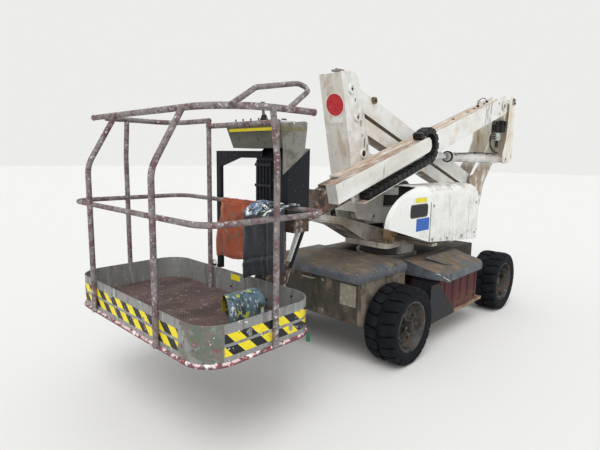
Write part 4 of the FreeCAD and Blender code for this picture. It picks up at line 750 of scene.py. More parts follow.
def bolt(place, way, r=0.012, depth=0.008):
    """Hexagon head on a washer, standing out along way."""
    place, way = Vector(place), Vector(way).normalized()
    washer = bar(place - way * 0.001, place + way * 0.003, r * 1.35, 20)
    head = bar(place, place + way * depth, r, 6)
    softened(head, 0.0012, 2)
    return joined([washer, head])


def bent(points, bend, closed=False, step=9.0):
    """Path through points with each corner rounded to the radius bend."""
    pts = [Vector(p) for p in points]
    path = []
    for i, p in enumerate(pts):
        if not closed and i in (0, len(pts) - 1):
            path.append(p)
            continue
        before = (p - pts[i - 1]).normalized()
        after = (pts[(i + 1) % len(pts)] - p).normalized()
        turn = before.angle(after)
        if turn < 0.01 or bend <= 0:
            path.append(p)
            continue
        start = p - before * (bend * math.tan(turn / 2))
        inward = (after - before * before.dot(after)).normalized()
        count = max(2, math.ceil(math.degrees(turn) / step))
        for k in range(count + 1):
            a = turn * k / count
            path.append(start + before * (bend * math.sin(a)) + inward * (bend * (1 - math.cos(a))))
    return path


def curve(name, kind, points, r, resolution, caps=True):
    """Round curve through or near points, and its spline."""
    data = bpy.data.curves.new(name, "CURVE")
    data.dimensions = "3D"
    data.bevel_depth = r
    data.bevel_resolution = resolution
    data.use_fill_caps = caps
    spline = data.splines.new(kind)
    spline.points.add(len(points) - 1)
    for point, place in zip(spline.points, points):
        point.co = (*place, 1.0)
    return data, spline


def finished_mesh(obj):
    """Mesh of obj with its modifiers worked in."""
    return bpy.data.meshes.new_from_object(obj.evaluated_get(bpy.context.evaluated_depsgraph_get()))


def curve_mesh(data):
    """Mesh of a curve that has no further use."""
    obj = linked(data.name, data)
    mesh = finished_mesh(obj)
    bpy.data.objects.remove(obj)
    bpy.data.curves.remove(data)
    return mesh


def tube(path, r, closed=False, count=16):
    """Tube mesh along a path, closed at its ends."""
    data, spline = curve("tube", "POLY", path, r, count // 4, not closed)
    spline.use_cyclic_u = closed
    mesh = curve_mesh(data)
    bm = bmesh.new()
    bm.from_mesh(mesh)
    bmesh.ops.remove_doubles(bm, verts=bm.verts, dist=0.00001)
    bpy.data.meshes.remove(mesh)
    return bm


def weld(place, way, r):
    """Bead of weld round a tube's foot."""
    place, way = Vector(place), Vector(way).normalized()
    return bar(place, place + way * 0.007, r + 0.005, 20, r)


def spun(profile, steps=96):
    """Ring about the Y axis at the origin from a closed profile of (y, radius)."""
    bm = bmesh.new()
    verts = [bm.verts.new((0, y, -r)) for y, r in profile]
    edges = [bm.edges.new((verts[i], verts[(i + 1) % len(verts)])) for i in range(len(verts))]
    bmesh.ops.spin(bm, geom=verts + edges, cent=(0, 0, 0), axis=(0, 1, 0), angle=2 * math.pi, steps=steps,
                   use_merge=True, use_duplicate=False)
    bmesh.ops.remove_doubles(bm, verts=bm.verts, dist=0.00001)
    return bm


# Wheels
WHEEL_R = 0.292
TYRE_W = 0.25
RIM_R = 0.186
TREAD_H = 0.018
PITCHES = 20
WHEEL_IN_Y = 0.5
AXLE_X = {"front": 0.9085, "rear": -0.9085}
DISH = {"front": 0.078, "rear": 0.118}


def tread_block(side, shift):
    """One raised block of a row, bent round the tyre; side -1 is the inner row."""
    half = math.pi * WHEEL_R / PITCHES - 0.0065
    lean = 0.018
    y_out, y_mid, y_tip = TYRE_W / 2 + 0.001, 0.045, 0.006
    corners = [(-half + lean, y_out), (half + lean, y_out), (half + lean * 0.2, y_mid),
               (half - 0.010, 0.020), (0.006, y_tip), (-half + 0.004, 0.014), (-half - lean * 0.2, y_mid)]
    bm = bmesh.new()
    verts = [bm.verts.new((u, v, 0.0)) for u, v in corners]
    face = bm.faces.new(verts)
    raised = grown(bmesh.ops.extrude_face_region(bm, geom=[face]), BMVert)
    bmesh.ops.translate(bm, vec=(0, 0, TREAD_H + 0.004), verts=raised)
    for v in raised:
        v.co.x *= 0.94
        v.co.y = 0.012 + (v.co.y - 0.012) * (0.97 if v.co.y < y_mid + 0.01 else 0.93)
    bmesh.ops.recalc_face_normals(bm, faces=bm.faces)
    rim_edges = [e for e in bm.edges if all(v.co.z > TREAD_H * 0.9 for v in e.verts)]
    bmesh.ops.bevel(bm, geom=rim_edges, offset=0.003, segments=2, profile=0.5, affect="EDGES", material=-1)
    for u in (-half * 0.5, 0.0, half * 0.5):
        sliced(bm, (u, 0, 0), (1, 0, 0))
    shoulder, shoulder_drop = 0.085, 0.016
    sliced(bm, (0, shoulder, 0), (0, 1, 0))
    base = WHEEL_R - TREAD_H - 0.004
    for v in bm.verts:
        drop = shoulder_drop * max(0.0, (v.co.y - shoulder) / (y_out - shoulder)) ** 2
        r = base + v.co.z - drop
        a = v.co.x / WHEEL_R + shift - math.pi / 2
        v.co = Vector((r * math.cos(a), TYRE_W / 2 + side * v.co.y, r * math.sin(a)))
    return bm


def tyre(shift):
    """Carcass with its sidewall rings, and two staggered rows of blocks."""
    r, w = WHEEL_R, TYRE_W
    low = r - TREAD_H
    half = [(0.10 * w, RIM_R), (0.045 * w, RIM_R + 0.006), (0.02 * w, RIM_R + 0.02), (0.016 * w, RIM_R + 0.026),
            (0.022 * w, RIM_R + 0.03), (0.004 * w, RIM_R + 0.045), (0.002 * w, RIM_R + 0.058),
            (0.010 * w, RIM_R + 0.061), (0.006 * w, RIM_R + 0.07), (0.03 * w, low - 0.012),
            (0.10 * w, low - 0.002), (0.2 * w, low)]
    profile = half + [(w - y, q) for y, q in reversed(half)]
    parts = [spun(profile, 96)]
    pitch = 2 * math.pi / PITCHES
    for k in range(PITCHES):
        parts.append(tread_block(1, k * pitch + shift))
        parts.append(tread_block(-1, (k + 0.5) * pitch + shift))
    return parts


def wheel_rim(dish):
    """Rim with its disc, round vents, hub and nuts."""
    w, r, t = TYRE_W, RIM_R + 0.0005, 0.009
    face = w - dish
    profile = [(0.06 * w, r + 0.006), (0.94 * w, r + 0.006), (0.955 * w, r + 0.003), (0.955 * w, r - 0.004),
               (0.93 * w, r - t), (0.80 * w, r - 0.018), (face + 0.006, r - 0.024), (face - 0.002, r - 0.034),
               (face, 0.098), (face + 0.010, 0.090), (face + 0.014, 0.080), (face + 0.014, 0.034),
               (face - 0.012, 0.034), (face - 0.012, r - 0.034), (0.3 * w, r - 0.022), (0.07 * w, r - t)]
    parts = [spun(profile, 96)]
    hub = [(face - 0.02, 0.0001), (face - 0.02, 0.052), (face + 0.026, 0.052), (face + 0.032, 0.046),
           (face + 0.05, 0.040), (face + 0.056, 0.034), (face + 0.056, 0.0001)]
    parts.append(spun(hub, 48))
    for k in range(8):
        a = 2 * math.pi * k / 8 + 0.2
        spot = Vector((0.066 * math.cos(a), face + 0.012, 0.066 * math.sin(a)))
        parts.append(bolt(spot, (0, 1, 0), 0.010, 0.014))
    return parts


def vents(dish):
    """Round openings in the wheel's disc, as short black cups let into it: painted shade for the dark inside the
    openings.
    """
    face = TYRE_W - dish
    parts = []
    for k in range(8):
        a = 2 * math.pi * (k + 0.5) / 8
        spot = Vector((0.120 * math.cos(a), face - 0.003, 0.120 * math.sin(a)))
        # painted shade: a black cup stands in each opening
        parts.append(bar(spot, spot + Vector((0, 0.0075, 0)), 0.013, 20))
    return parts


def wheels():
    for end in ("front", "rear"):
        for side, hand in SIDES:
            place = "_%s_%s" % (end, hand)
            made = (("tyre", tyre(0.1 if end == "front" else 0.22), "rubber", "tyre"),
                    ("rim", wheel_rim(DISH[end]), "wheel", "rim_grey"),
                    ("vents", vents(DISH[end]), "black", "rim_grey"))
            for name, parts, finish, slot in made:
                bm = moved(joined(parts), at(AXLE_X[end], WHEEL_IN_Y, WHEEL_R))
                stands_for = () if name == "vents" else (name + place,)
                piece(name + place + "_made", bm if side > 0 else mirrored(bm), "wheel" + place, finish,
                      stands_for)


# Cage
RAIL_Z = 1.74
MID_RAIL_Z = 1.21
BACK_RAIL_Z = 1.704
BACK_POSTS_Y = (-0.265, 0.40)
RAIL_R = 0.017
INSET = 0.021
RAIL_FRONT = CAGE_FRONT - 0.165


def loop_path(grow, z, corner):
    """Rounded rectangle in plan, grown outwards from the toe board."""
    x0, x1, w = CAGE_BACK - grow, CAGE_FRONT + grow, CAGE_SIDE + grow
    corners = [(x0, -w, z), (x1, -w, z), (x1, w, z), (x0, w, z)]
    return bent(corners, corner, closed=True)


def cage_rails():
    x0, x1, w = CAGE_BACK, CAGE_FRONT, CAGE_SIDE
    foot = CAGE_Z
    parts = []
    # place in plan, top and whether the post leans back above its bend
    for px, py, top, leans in ((x1 + 0.012, 0.32, RAIL_Z, True), (x1 + 0.012, -0.42, RAIL_Z, True),
                               (x0 + 0.33, w + 0.012, RAIL_Z, False), (x0 + 0.38, -w - 0.012, RAIL_Z, False),
                               (x0 + INSET, BACK_POSTS_Y[0], RAIL_Z, False),
                               (x0 + INSET, BACK_POSTS_Y[1], BACK_RAIL_Z, False)):
        if leans:
            path = bent([(px, py, foot), (px, py, 1.44), (RAIL_FRONT, py, top)], 0.18)
        else:
            top_y = math.copysign(min(abs(py), w - INSET), py)
            path = bent([(px, py, foot), (px, py, 1.5), (px, top_y, top)], 0.1)
        parts.append(tube(path, RAIL_R - 0.001))
        parts.append(weld((px, py, foot + 0.012), (0, 0, 1), RAIL_R))
    front = bent([(RAIL_FRONT, -w - 0.02, RAIL_Z), (RAIL_FRONT, w - INSET, RAIL_Z),
                  (x0 + 0.04, w - INSET, RAIL_Z)], 0.32)
    back = bent([(RAIL_FRONT - 0.06, -w + INSET, RAIL_Z), (x0 + INSET, -w + INSET, RAIL_Z),
                 (x0 + INSET, BACK_POSTS_Y[0] + 0.01, RAIL_Z)], 0.15)
    low = [(x0 + INSET, y, BACK_RAIL_Z) for y in (BACK_POSTS_Y[0] - 0.01, BACK_POSTS_Y[1] + 0.014)]
    grow = 0.013
    mid = bent([(x0 - 0.06, -w - grow, MID_RAIL_Z), (x1 - 0.006, -w - grow, MID_RAIL_Z),
                (x1 - 0.006, w + grow, MID_RAIL_Z), (x0 - 0.06, w + grow, MID_RAIL_Z)], 0.12, closed=True)
    hoop = bent([(RAIL_FRONT - 0.06, 0.63, RAIL_Z), (x0 + 0.3, 0.54, RAIL_Z + 0.11),
                 (x0 - 0.11, 0.60, RAIL_Z + 0.185), (x0 + 0.23, w - INSET, RAIL_Z)], 0.045)
    parts += [tube(path, RAIL_R) for path in (front, back, low)]
    parts += [tube(mid, RAIL_R - 0.002, closed=True), tube(hoop, 0.014)]
    for end in (front[-1], front[0]):
        parts.append(bar(end - Vector((0.003, 0, 0)), end + Vector((0.003, 0, 0)), RAIL_R + 0.002, 20))
    return parts


def toe_sheet():
    """Thin upright band round the cage with a small rolled top edge."""
    bm = bmesh.new()
    outer = loop_path(0.0, CAGE_Z + 0.004, CAGE_CORNER)
    verts = [bm.verts.new(p) for p in outer]
    edges = [bm.edges.new((verts[i], verts[(i + 1) % len(verts)])) for i in range(len(verts))]
    for rise in (0.05, 0.05, 0.05, TOE_TOP - CAGE_Z - 0.154):
        result = bmesh.ops.extrude_edge_only(bm, edges=edges)
        edges = grown(result, BMEdge)
        bmesh.ops.translate(bm, vec=(0, 0, rise), verts=grown(result, BMVert))
    bmesh.ops.recalc_face_normals(bm, faces=bm.faces)
    centre = Vector(((CAGE_BACK + CAGE_FRONT) / 2, 0, 0))
    first = next(iter(bm.faces))
    if first.normal.dot(first.calc_center_median() - centre) < 0:
        bmesh.ops.reverse_faces(bm, faces=bm.faces)
    bmesh.ops.solidify(bm, geom=list(bm.faces), thickness=0.004)
    roll = tube(loop_path(-0.002, TOE_TOP - 0.003, CAGE_CORNER - 0.002), 0.0035, closed=True, count=8)
    return [bm, roll]


def cage():
    piece("cage_rails", cage_rails(), "cage", "tube", ("cage_frame",))
    piece("toe_board_made", toe_sheet(), "cage", "toe", ("toe_board",))
    rim = tube(loop_path(-0.002, CAGE_Z, CAGE_CORNER - 0.002), 0.013, closed=True)
    piece("toe_rim_tube", rim, "cage", "rim_tube")


# Places in the side view, (x, z) in machine metres, and the slopes of the arms in degrees
BOOM_PIVOT, BOOM_SLOPE = (-1.970, 2.163), -16.6
LOWER_FRONT = (0.420, 1.001)
POST_TOP, UPPER_FRONT = (0.790, 2.060), (0.700, 1.845)
UPPER_TIE_REAR, UPPER_REAR = (-1.6827, 1.2566), (-1.7727, 1.0416)
UPPER_CYL_BASE = (0.600, 1.550)
LUFF_BASE, LUFF_EYE = (-2.120, 1.530), (-0.400, 1.549)
POST_SIDES = (-0.215, 0.015)
KNUCKLE_SIDES = (-0.215, 0.227)
BOOM_SIDES = (0.030, 0.210)
COVER_OUT = 0.5
COVER_OPEN_X, COVER_OPEN_Y = 0.44, 0.456
COVER_TIP_Z, COVER_TOP_Z = 0.985, 1.292


def along(start, slope, s, n, y):
    """Place s along a sloping line of the side view and n square to it."""
    a = math.radians(slope)
    return at(start[0] + s * math.cos(a) - n * math.sin(a), y, start[1] + s * math.sin(a) + n * math.cos(a))


def on_boom(s, n, y):
    return along(BOOM_PIVOT, BOOM_SLOPE, s, n, y)


def post_front(z, y, out=0.0):
    """Place on the post's leaning front plate at height z."""
    lean = (0.928 - 0.655) / (2.182 - 0.997)
    return at(0.655 + (z - 0.997) * lean + out, y, z)


def ring_face(place, side, r, bore, depth):
    """Raised ring on an upright side plate; side 1 faces the machine's left."""
    bm = spun([(-0.003, bore), (-0.003, r), (depth - 0.003, r), (depth, r - 0.003), (depth, bore + 0.002),
               (depth - 0.002, bore)], 40)
    return moved(bm if side > 0 else mirrored(bm), place)


def pins(name, body, rows):
    """Bosses round the pin ends and the dark pin faces inside them."""
    rings, faces = [], []
    for (x, z), y, side, r, bore, depth in rows:
        rings.append(ring_face(at(x, y, z), side, r, bore, depth))
        face = depth * 0.72
        faces.append(bar(at(x, y + side * (face - 0.006), z), at(x, y + side * face, z), bore + 0.0005, 32))
        faces.append(bar(at(x, y + side * face, z), at(x, y + side * (face + 0.002), z), bore * 0.55, 6))
    piece(name + "_bosses", rings, body, "white")
    piece(name + "_pins", faces, body, "black")


def panel(corners, way, thick):
    """Flat plate from its corners, given thickness along way."""
    bm = bmesh.new()
    face = bm.faces.new([bm.verts.new(c) for c in corners])
    top = grown(bmesh.ops.extrude_face_region(bm, geom=[face]), BMVert)
    bmesh.ops.translate(bm, vec=Vector(way).normalized() * thick, verts=top)
    bmesh.ops.recalc_face_normals(bm, faces=bm.faces)
    return bm


def rounded_plate(low, high, y, thick, corner, side=1):
    """Upright plate on a side face, (x, z) corners low and high, with round corners."""
    (x0, z0), (x1, z1) = low, high
    points = bent([at(x0, y, z0), at(x1, y, z0), at(x1, y, z1), at(x0, y, z1)], corner, closed=True, step=15.0)
    return panel(points, (0, side, 0), thick)


def hose(name, body, points, r):
    """Hose between two fittings, along given points."""
    data, spline = curve(name, "NURBS", points, r, 3)
    spline.order_u = 3
    spline.use_endpoint_u = True
    spline.resolution_u = 8
    obj = linked(name, data)
    data.materials.append(FINISHES["black"])
    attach(obj, body)
    curve_length(data)


def curve_length(data):
    """Length of a curve without its bevel."""
    plain = data.copy()
    plain.bevel_depth = 0.0
    mesh = curve_mesh(plain)
    total = sum((mesh.vertices[e.vertices[0]].co - mesh.vertices[e.vertices[1]].co).length for e in mesh.edges)
    bpy.data.meshes.remove(mesh)
    return total


# Canvas bag, mat and hood
SWELL_VOXEL = 0.007
SWELL_PRESSURE = 4.0
SWELL_FRAMES = 20


def swollen(name, bm, cap):
    """Stuffed cloth: the shape remeshed and blown up a little, no point moved further than cap."""
    mesh = bpy.data.meshes.new(name)
    bmesh.ops.recalc_face_normals(bm, faces=bm.faces)
    bm.to_mesh(mesh)
    bm.free()
    obj = linked(name, mesh)
    remesh = obj.modifiers.new("even", "REMESH")
    remesh.mode = "VOXEL"
    remesh.voxel_size = SWELL_VOXEL
    obj.data = finished_mesh(obj)
    obj.modifiers.clear()
    start = [v.co.copy() for v in obj.data.vertices]
    cloth = obj.modifiers.new("swell", "CLOTH")
    cloth.settings.quality = 5
    cloth.settings.use_pressure = True
    cloth.settings.uniform_pressure_force = SWELL_PRESSURE
    cloth.settings.effector_weights.gravity = 0.0
    cloth.settings.mass = 0.3
    for frame_number in range(1, SWELL_FRAMES + 1):
        bpy.context.scene.frame_set(frame_number)
    blown = finished_mesh(obj)
    obj.modifiers.clear()
    for v, before in zip(blown.vertices, start):
        shift = v.co - before
        if shift.length > cap:
            v.co = before + shift * (cap / shift.length)
    obj.data = blown
    bpy.context.scene.frame_set(1)
    return obj


def step_to(value, low, high):
    """Smooth step from 0 at low to 1 at high."""
    t = min(1.0, max(0.0, (value - low) / (high - low)))
    return t * t * (3 - 2 * t)


def soft_piece(obj, finish, replaces, fold):
    """Folds and seams put into a swollen piece, one subdivision over it."""
    bm = bmesh.new()
    bm.from_mesh(obj.data)
    bmesh.ops.recalc_face_normals(bm, faces=bm.faces)
    for v in bm.verts:
        v.co += fold(v.co, v.normal)
    bmesh.ops.smooth_vert(bm, verts=bm.verts, factor=0.3, use_axis_x=True, use_axis_y=True, use_axis_z=True)
    bm.to_mesh(obj.data)
    bm.free()
    obj.data.polygons.foreach_set("use_smooth", [True] * len(obj.data.polygons))
    smooth = obj.modifiers.new("smooth", "SUBSURF")
    smooth.levels = smooth.render_levels = 1
    obj.data.materials.clear()
    obj.data.materials.append(FINISHES[finish])
    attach(obj, "cage")
    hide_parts(replaces)


BAG_LEFT, BAG_RIGHT = -0.250, 0.145
BAG_INSIDE, BAG_OUTSIDE = 1.907 - CENTRE_X, 1.948 - CENTRE_X
BAG_TOP, BAG_LOW = 1.226, 0.815
MAT_LEFT, MAT_RIGHT = 0.169, 0.506
MAT_BACK, MAT_INNER, MAT_FRONT = 1.866 - CENTRE_X, 1.996 - CENTRE_X, 2.046 - CENTRE_X
MAT_TOP, MAT_LOW = 1.234, 0.753
MAT_SLIT = (0.3755, 0.4245)


def bag():
    """Flat canvas bag hung by its hem on the middle rail, fuller low down."""
    bm = block((BAG_INSIDE + 0.004, BAG_LEFT, BAG_LOW), (BAG_OUTSIDE - 0.004, BAG_RIGHT, BAG_TOP))
    bmesh.ops.subdivide_edges(bm, edges=bm.edges, cuts=17, use_grid_fill=True)
    middle = (BAG_INSIDE + BAG_OUTSIDE) / 2
    for v in bm.verts:
        down = (BAG_TOP - v.co.z) / (BAG_TOP - BAG_LOW)
        across = (v.co.y - BAG_LEFT) / (BAG_RIGHT - BAG_LEFT)
        full = 0.28 + 0.72 * step_to(down, 0.05, 0.65) * (0.75 + 0.25 * math.sin(math.pi * across))
        v.co.x = middle + (v.co.x - middle) * full
        v.co.z += 0.020 * across * step_to(down, 0.6, 1.0)
        v.co.z += 0.007 * math.sin(9.0 * across) * step_to(down, 0.5, 1.0)
        v.co.y += 0.048 * (1 - step_to(down, 0.0, 0.9)) * (1 - step_to(across, 0.0, 0.35))
        v.co.y += 0.006 * math.sin(7.0 * down) * (1 - step_to(across, 0.0, 0.2))
    obj = swollen("bag", bm, 0.007)

    def fold(place, normal):
        down = (BAG_TOP - place.z) / (BAG_TOP - BAG_LOW)
        across = (place.y - BAG_LEFT) / (BAG_RIGHT - BAG_LEFT)
        # folds that fan out from the two held corners of the hem
        left = math.atan2(down * 0.41, across * 0.40 + 0.02)
        right = math.atan2(down * 0.41, (1.0 - across) * 0.40 + 0.02)
        reach = 1 - step_to(down, 0.2, 0.95)
        wave = 0.0045 * math.sin(11.0 * left) * (1 - step_to(across, 0.25, 0.9))
        wave += 0.0050 * math.sin(13.0 * right + 0.6) * step_to(across, 0.3, 0.9)
        sag = 0.0035 * math.sin(16.0 * across + 2.5 * down) * step_to(down, 0.3, 0.8)
        hem = -0.004 * math.exp(-((down - 0.055) / 0.02) ** 2) - 0.003 * math.exp(-((down - 0.93) / 0.012) ** 2)
        facing = abs(normal.x)
        return normal * (wave * reach + sag + hem) * facing
    soft_piece(obj, "canvas", "tool_bag", fold)
    hem = piece("bag_hem", rolled_hem(), "cage", "canvas", angle=60.0)
    smooth = hem.modifiers.new("smooth", "SUBSURF")
    smooth.levels = smooth.render_levels = 1
    ring = spun([(-0.002, 0.0045), (-0.002, 0.010), (0.001, 0.011), (0.0025, 0.009), (0.0025, 0.0045)], 24)
    moved(ring, (BAG_OUTSIDE + 0.001, -0.115, 1.003), ("Z", -90.0))
    piece("bag_eyelet", ring, "cage", "steel")


def rolled_hem():
    """Hem of the bag turned over the rail, uneven along its length."""
    rail = Vector((CAGE_BACK - 0.06, 0, MID_RAIL_Z))
    bm = bmesh.new()
    count = 44
    row = []
    for k in range(count + 1):
        y = BAG_LEFT + 0.045 + (BAG_RIGHT - BAG_LEFT - 0.045) * k / count
        row.append(bm.verts.new((rail.x + 0.0185, y, rail.z - 0.034 + 0.004 * math.sin(k * 0.9))))
    edges = [bm.edges.new((row[k], row[k + 1])) for k in range(count)]
    result = bmesh.ops.extrude_edge_only(bm, edges=edges)
    verts, edges = grown(result, BMVert), grown(result, BMEdge)
    for v in verts:
        v.co.z = rail.z
    bmesh.ops.spin(bm, geom=verts + edges, cent=rail, axis=(0, 1, 0), angle=-math.radians(195.0), steps=10,
                   use_merge=False, use_duplicate=False)
    bmesh.ops.remove_doubles(bm, verts=bm.verts, dist=0.0001)
    for v in bm.verts:
        out = v.co - Vector((rail.x, v.co.y, rail.z))
        out.y = 0
        wobble = 0.0012 * math.sin(v.co.y * 61.0) + 0.0009 * math.sin(v.co.y * 137.0 + v.co.z * 60.0)
        v.co += out.normalized() * wobble
    bmesh.ops.recalc_face_normals(bm, faces=bm.faces)
    bmesh.ops.solidify(bm, geom=list(bm.faces), thickness=0.0022)
    return bm


def mat():
    """Padded mat folded over the middle rail, slit for the post, creased across and down its front."""
    front = block((MAT_INNER, MAT_LEFT, MAT_LOW), (MAT_FRONT, MAT_RIGHT, MAT_TOP))
    saddles = [block((MAT_BACK, y0, MAT_TOP - 0.008), (MAT_INNER + 0.02, y1, MAT_TOP))
               for y0, y1 in ((MAT_LEFT, MAT_SLIT[0]), (MAT_SLIT[1], MAT_RIGHT))]
    for part in [front] + saddles:
        bmesh.ops.subdivide_edges(part, edges=part.edges, cuts=15, use_grid_fill=True)
    bm = joined([front] + saddles)
    for v in bm.verts:
        across = (v.co.y - MAT_LEFT) / (MAT_RIGHT - MAT_LEFT)
        high = step_to(v.co.z, 1.05, MAT_TOP)
        rim = step_to(v.co.x, MAT_INNER - 0.03, MAT_FRONT)
        v.co.z -= 0.052 * high * rim * (1.0 - 0.35 * across)
        low = 1 - step_to(v.co.z, MAT_LOW, 0.95)
        v.co.z += low * (0.092 * across + 0.006 * math.sin(5.0 * across))
        v.co.x -= 0.010 * low * math.sin(math.pi * across)
    obj = swollen("mat", bm, 0.006)

    def fold(place, normal):
        across = (place.y - MAT_LEFT) / (MAT_RIGHT - MAT_LEFT)
        facing = max(0.0, normal.x)
        seam_z = 0.865 + 0.108 * across + 0.004 * math.sin(6.0 * across)
        off = place.z - seam_z
        crease = -0.0075 * math.exp(-(off / 0.008) ** 2) + 0.0035 * math.exp(-((off + 0.022) / 0.014) ** 2)
        upright = -0.014 * math.exp(-((place.y - 0.392) / 0.010) ** 2) * (1 - step_to(place.z, 1.10, 1.18))
        soft = 0.0035 * math.sin(21.0 * across + 7.0 * place.z) * math.sin(9.0 * place.z + 1.0)
        top = 0.005 * math.sin(30.0 * place.y + 45.0 * place.x) * step_to(place.z, 1.16, 1.2)
        lift = normal * (facing * (crease + upright + soft))
        return lift + Vector((0, 0, min(top, 0.002)))
    soft_piece(obj, "mat", "rail_cover", fold)


def hood():
    """Foot switch hood, its mouth cut on the slant, with a yellow lining and a pedal inside."""
    low, high = (Vector(corner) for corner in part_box("foot_switch_hood"))
    bm = node_copy("foot_switch_hood")
    slant = 0.085
    for v in bm.verts:
        share = (v.co.x - low.x) / (high.x - low.x)
        v.co.x -= slant * share * (high.y - v.co.y) / (high.y - low.y)
    piece("hood_made", bm, "cage", "hood", ("foot_switch_hood",), bevel=0.002)
    toe, length, rise = low.x + 0.19, 0.1, 0.03
    pedal = block((low.x + 0.09, low.y + 0.045, low.z + 0.002), (toe, high.y - 0.045, low.z + 0.016))
    softened(pedal, 0.003)
    for v in pedal.verts:
        v.co.z += rise * max(0.0, (toe - v.co.x) / length)
    piece("hood_pedal", pedal, "cage", "black")


# Pins, labels and small fittings

def folding_pins():
    left, right = POST_SIDES[1], POST_SIDES[0]
    r, bore = 0.041, 0.0256
    rows = []
    for spot in (POST_TOP, UPPER_FRONT, UPPER_CYL_BASE, LOWER_FRONT):
        rows += [(spot, left, 1, r, bore, 0.0125), (spot, right, -1, r, bore, 0.014)]
    pins("post", "post", rows)
    near, far = KNUCKLE_SIDES[1], KNUCKLE_SIDES[0]
    rows = [(LUFF_BASE, near, 1, 0.036, 0.0205, 0.009), (UPPER_TIE_REAR, far, -1, r, bore, 0.012),
            (UPPER_REAR, far, -1, r, bore, 0.012)]
    pins("knuckle", "rear_knuckle", rows)


def post_fittings():
    """Blank disc and plate on the post's front, slots in its side plate as thin black plates for their painted
    shade, lifting lug on top.
    """
    out = Vector((1.0, 0.0, -0.23)).normalized()
    spot = post_front(1.935, -0.085, 0.001)
    piece("post_disc", bar(spot, spot + out * 0.0015, 0.088, 56), "post", "red")
    piece("post_disc_rim", bar(spot - out * 0.0004, spot + out * 0.001, 0.094, 56), "post", "plate")
    corners = [post_front(z, y, 0.0005)
               for z, y in ((1.838, -0.15), (1.838, -0.02), (1.795, -0.02), (1.795, -0.15))]
    piece("post_plate", panel(corners, out, 0.0012), "post", "plate")
    # painted shade: each slot is a thin black plate standing for the dark inside it
    slots = [rounded_plate((x - 0.005, z - tall / 2), (x + 0.005, z + tall / 2), POST_SIDES[1] - 0.0005, 0.0012,
                           0.0045)
             for x, z, tall in ((0.645, 1.80, 0.05), (0.620, 1.70, 0.024), (0.585, 1.64, 0.075),
                                (0.545, 1.60, 0.06), (0.735, 1.98, 0.03))]
    piece("post_slots", slots, "post", "black")
    lug = [block(at(0.810, -0.125, 2.198), at(0.880, -0.045, 2.212))]
    lug += [bolt(at(x, -0.085, 2.211), UP, 0.012, 0.010) for x in (0.828, 0.862)]
    piece("post_top_lug", lug, "post", "steel", bevel=0.002)


# Flat pieces on each cover: name, (x, z) corners low and high, corner radius, thickness, slot and finish
COVER_PLATES = (
    # painted shade: the hand slot is a thin black plate standing for the dark opening
    ("slot", (0.330, 1.046), (0.600, 1.142), 0.026, 0.0016, "chain_black", "black"),
    ("slot_frame", (0.322, 1.038), (0.608, 1.150), 0.030, 0.0012, "cover_white", "inner"),
    ("label_yellow", (0.350, 1.162), (0.530, 1.200), 0.004, 0.0012, "cover_white", "yellow"),
    ("label_blue", (0.290, 0.925), (0.505, 1.030), 0.004, 0.0012, "cover_white", "blue"),
    ("label_white", (0.300, 0.862), (0.440, 0.915), 0.004, 0.0010, "cover_white", "plate"),
)
COVER_BOLTS = ((-0.66, 0.80), (-0.36, 0.80), (-0.06, 0.81), (0.22, 0.83), (-0.66, 1.10), (0.22, 1.12))
COVER_IN = 0.262


def cover_fittings():
    """Blank labels, hand slot as a black plate for its painted shade, seam and bolts of the turret covers."""
    for side, hand in SIDES:
        for name, low, high, corner, thick, slot, finish in COVER_PLATES:
            plate = rounded_plate(low, high, side * (COVER_OUT - 0.0006), thick, corner, side)
            piece("cover_%s_%s" % (name, hand), plate, "turret", finish)
        fixings = [bolt(at(x, side * COVER_OUT, z), (0, side, 0), 0.009, 0.005) for x, z in COVER_BOLTS]
        piece("cover_bolts_" + hand, fixings, "turret", "steel")
        outline = [at(SEAM_X, side * y, z) for y, z in ((COVER_IN, 1.2915), (0.401, 1.2915), (0.446, 1.281),
                                                        (0.474, 1.240), (0.4995, 1.140), (0.4998, 0.815))]
        piece("cover_seam_" + hand, tube(outline, 0.0035, count=8), "turret", "black")


